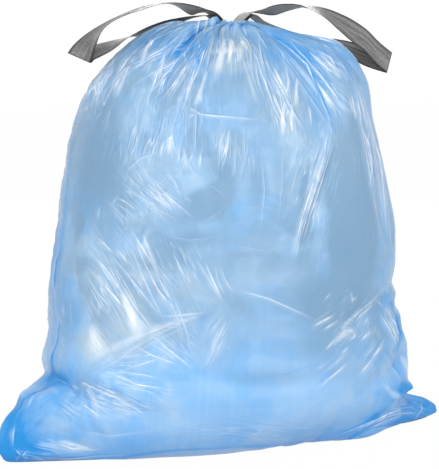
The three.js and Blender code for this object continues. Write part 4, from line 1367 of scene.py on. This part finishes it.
def tapeFaces(rows, columns):
    # both faces of the strip, its two long edges and its two ends
    wide = columns + 1
    total = rows * wide
    faces = []
    for r in range(rows - 1):
        for c in range(columns):
            a = r * wide + c
            faces.append((a, a + 1, a + wide + 1, a + wide))
            faces.append((total + a, total + a + wide, total + a + wide + 1, total + a + 1))
        left, right = r * wide, r * wide + columns
        faces.append((left, left + wide, total + left + wide, total + left))
        faces.append((right, total + right, total + right + wide, right + wide))
    for c in range(columns):
        top = (rows - 1) * wide + c
        faces.append((c, total + c, total + c + 1, c + 1))
        faces.append((top, top + 1, total + top + 1, total + top))
    return faces


def buildTape(name, node, route, seed):
    places = np.linspace(0, len(route) - 1, (len(route) - 1) * tapeShape["steps"] + 1)
    centre = splineThrough([spot for spot, _ in route], places)
    along = unit(np.gradient(centre, axis=0))
    across = unit(splineThrough([setLength(across, 1) for _, across in route], places, even=True))
    face = unit(np.cross(along, across))
    runs = np.concatenate([[0], np.cumsum(np.linalg.norm(np.diff(centre, axis=0), axis=1))])
    length = runs[-1]

    side = np.sin(np.linspace(-1, 1, tapeShape["columns"] + 1) * np.pi / 2)
    s, v = np.meshgrid(runs, side, indexing="ij")
    ends = smoothStep(s, 4, 30) * (1 - smoothStep(s, length - 30, length - 4))
    fromMouth = np.abs(centre[:, 0] - filmShape["mouthOffset"])[:, None]
    free = ends * smoothStep(fromMouth, 14, 34)
    offset = tapeShape["curl"] * (v**2 - 0.35) * np.sin(s / 47 + seed) * free
    offset = offset + tapeRelief(s, v, length, free, ends, np.random.default_rng(seed))
    middle = centre[:, None] + across[:, None] * v[..., None] * tapeShape["width"] / 2
    middle = middle + face[:, None] * offset[..., None]
    half = face[:, None] * tapeShape["thickness"] / 2
    points = np.concatenate([(middle + half).reshape(-1, 3), (middle - half).reshape(-1, 3)]) - boxMiddle
    piece = makePiece(name, points, tapeFaces(len(places), tapeShape["columns"]))

    lay = np.stack([s / 1000, (v + 1) * tapeShape["width"] / 2000], -1).reshape(-1, 2)
    addUv(piece, np.concatenate([lay, lay]))
    weld = np.minimum(s, length - s)
    edge = np.clip(smoothStep(np.abs(v), 0.8, 0.95) + 0.8 * (weld < 1.2), 0, 1)
    # painted light near the mouth on both faces, partly light passing through the thin tape
    pale = tapeShape["thinPale"] * (1 - smoothStep(fromMouth, 90, 130)) * (s > 0) * (1 - edge)
    for layer, values in (("edgeDark", edge), ("paintedLightNearMouth", pale)):
        keepValues(piece, layer, np.concatenate([values, values]).ravel())
    dressPiece(piece, tapeMaterial(), node)
    print("tape made:", name, round(length), "mm long")


# Lamps: place, what it faces, size, power.
lamps = {
    "keyPanel": ((-1.3, -1.7, 1.9), (0, 0, 0.25), (1.3, 1.3), 24.0),
    "frontPanel": ((-1.3, -2.3, 0.8), (0, 0, 0.25), (1.5, 1.5), 11.5),
    "lowPanel": ((0.5, -2.2, 0.2), (0, 0, 0.45), (1.8, 0.5), 7.0),
    "topStrip": ((-0.5, -1.5, 2.3), (0, 0, 0.3), (0.7, 0.08), 9.0),
    "leftStrip": ((-2.1, -1.3, 1.0), (0, 0, 0.25), (0.08, 0.8), 9.0),
    "rightStrip": ((1.5, -2.0, 1.4), (0, 0, 0.3), (0.08, 0.7), 9.0),
    "backPanel": ((1.2, 2.1, 1.7), (0, 0, 0.25), (1.4, 1.4), 36.0),
    "backStrip": ((-1.0, 2.0, 1.6), (0, 0, 0.3), (0.12, 0.9), 9.0),
    "fillPanel": ((2.0, -1.0, 1.2), (0, 0, 0.25), (1.2, 1.4), 6.0),
}
surroundings = {"strength": 0.5, "floorWhite": 0.985, "floorColor": (0.9, 0.9, 0.9), "floorReach": 8}


def addLamp(name, spot, aim, size, power):
    data = bpy.data.lights.new(name, "AREA")
    data.shape = "RECTANGLE"
    data.size, data.size_y = size
    data.energy = power
    lamp = bpy.data.objects.new(name, data)
    lamp.location = spot
    lamp.rotation_mode = "QUATERNION"
    lamp.rotation_quaternion = (Vector(aim) - Vector(spot)).to_track_quat("-Z", "Y")
    bpy.context.collection.objects.link(lamp)


def whereBackgroundShows(tree):
    # 1 for rays straight from the camera, off a glossy surface or through glass
    path = tree.nodes.new("ShaderNodeLightPath")
    total = path.outputs["Is Camera Ray"]
    for other in ("Is Glossy Ray", "Is Transmission Ray"):
        add = tree.nodes.new("ShaderNodeMath")
        add.operation = "MAXIMUM"
        tree.links.new(total, add.inputs[0])
        tree.links.new(path.outputs[other], add.inputs[1])
        total = add.outputs[0]
    return total


def addWorld():
    world = bpy.data.worlds.new("studio")
    world.use_nodes = True
    bpy.context.scene.world = world
    tree = world.node_tree
    tree.nodes.clear()
    out = tree.nodes.new("ShaderNodeOutputWorld")
    mix = tree.nodes.new("ShaderNodeMixShader")
    tree.links.new(whereBackgroundShows(tree), mix.inputs["Fac"])
    for slot, strength in ((1, surroundings["strength"]), (2, 1)):
        white = tree.nodes.new("ShaderNodeBackground")
        white.inputs["Color"].default_value = (1, 1, 1, 1)
        white.inputs["Strength"].default_value = strength
        tree.links.new(white.outputs[0], mix.inputs[slot])
    tree.links.new(mix.outputs[0], out.inputs["Surface"])


def addFloor():
    reach, low = surroundings["floorReach"], -0.0005
    mesh = bpy.data.meshes.new("paleFloor")
    corners = [(-reach, -reach, low), (reach, -reach, low), (reach, reach, low), (-reach, reach, low)]
    mesh.from_pydata(corners, [], [(0, 1, 2, 3)])
    floor = bpy.data.objects.new("paleFloor", mesh)
    bpy.context.collection.objects.link(floor)
    desk = NodeDesk("whiteSweep")
    plain, white, mix = desk.add("BsdfDiffuse"), desk.add("Emission"), desk.add("MixShader")
    desk.feed(plain.inputs[0], surroundings["floorColor"])
    desk.feed(white.inputs[0], (1, 1, 1))
    desk.feed(white.inputs[1], 1)
    share = desk.math("MULTIPLY", whereBackgroundShows(desk.tree), surroundings["floorWhite"])
    for socket, source in zip(mix.inputs, (share, plain.outputs[0], white.outputs[0])):
        desk.feed(socket, source)
    desk.feed(desk.out.inputs[0], mix.outputs[0])
    mesh.materials.append(desk.material)


addCamera()
buildFilm()
buildFilling()
buildTape("frontDrawTape", "front_tape", frontRoute, 3)
buildTape("backDrawTape", "back_tape", backRoute, 8)
addWorld()
addFloor()
for lampName, lampValues in lamps.items():
    addLamp(lampName, *lampValues)
bpy.context.scene.view_settings.view_transform = "Standard"
print("lamps, floor and surroundings placed")
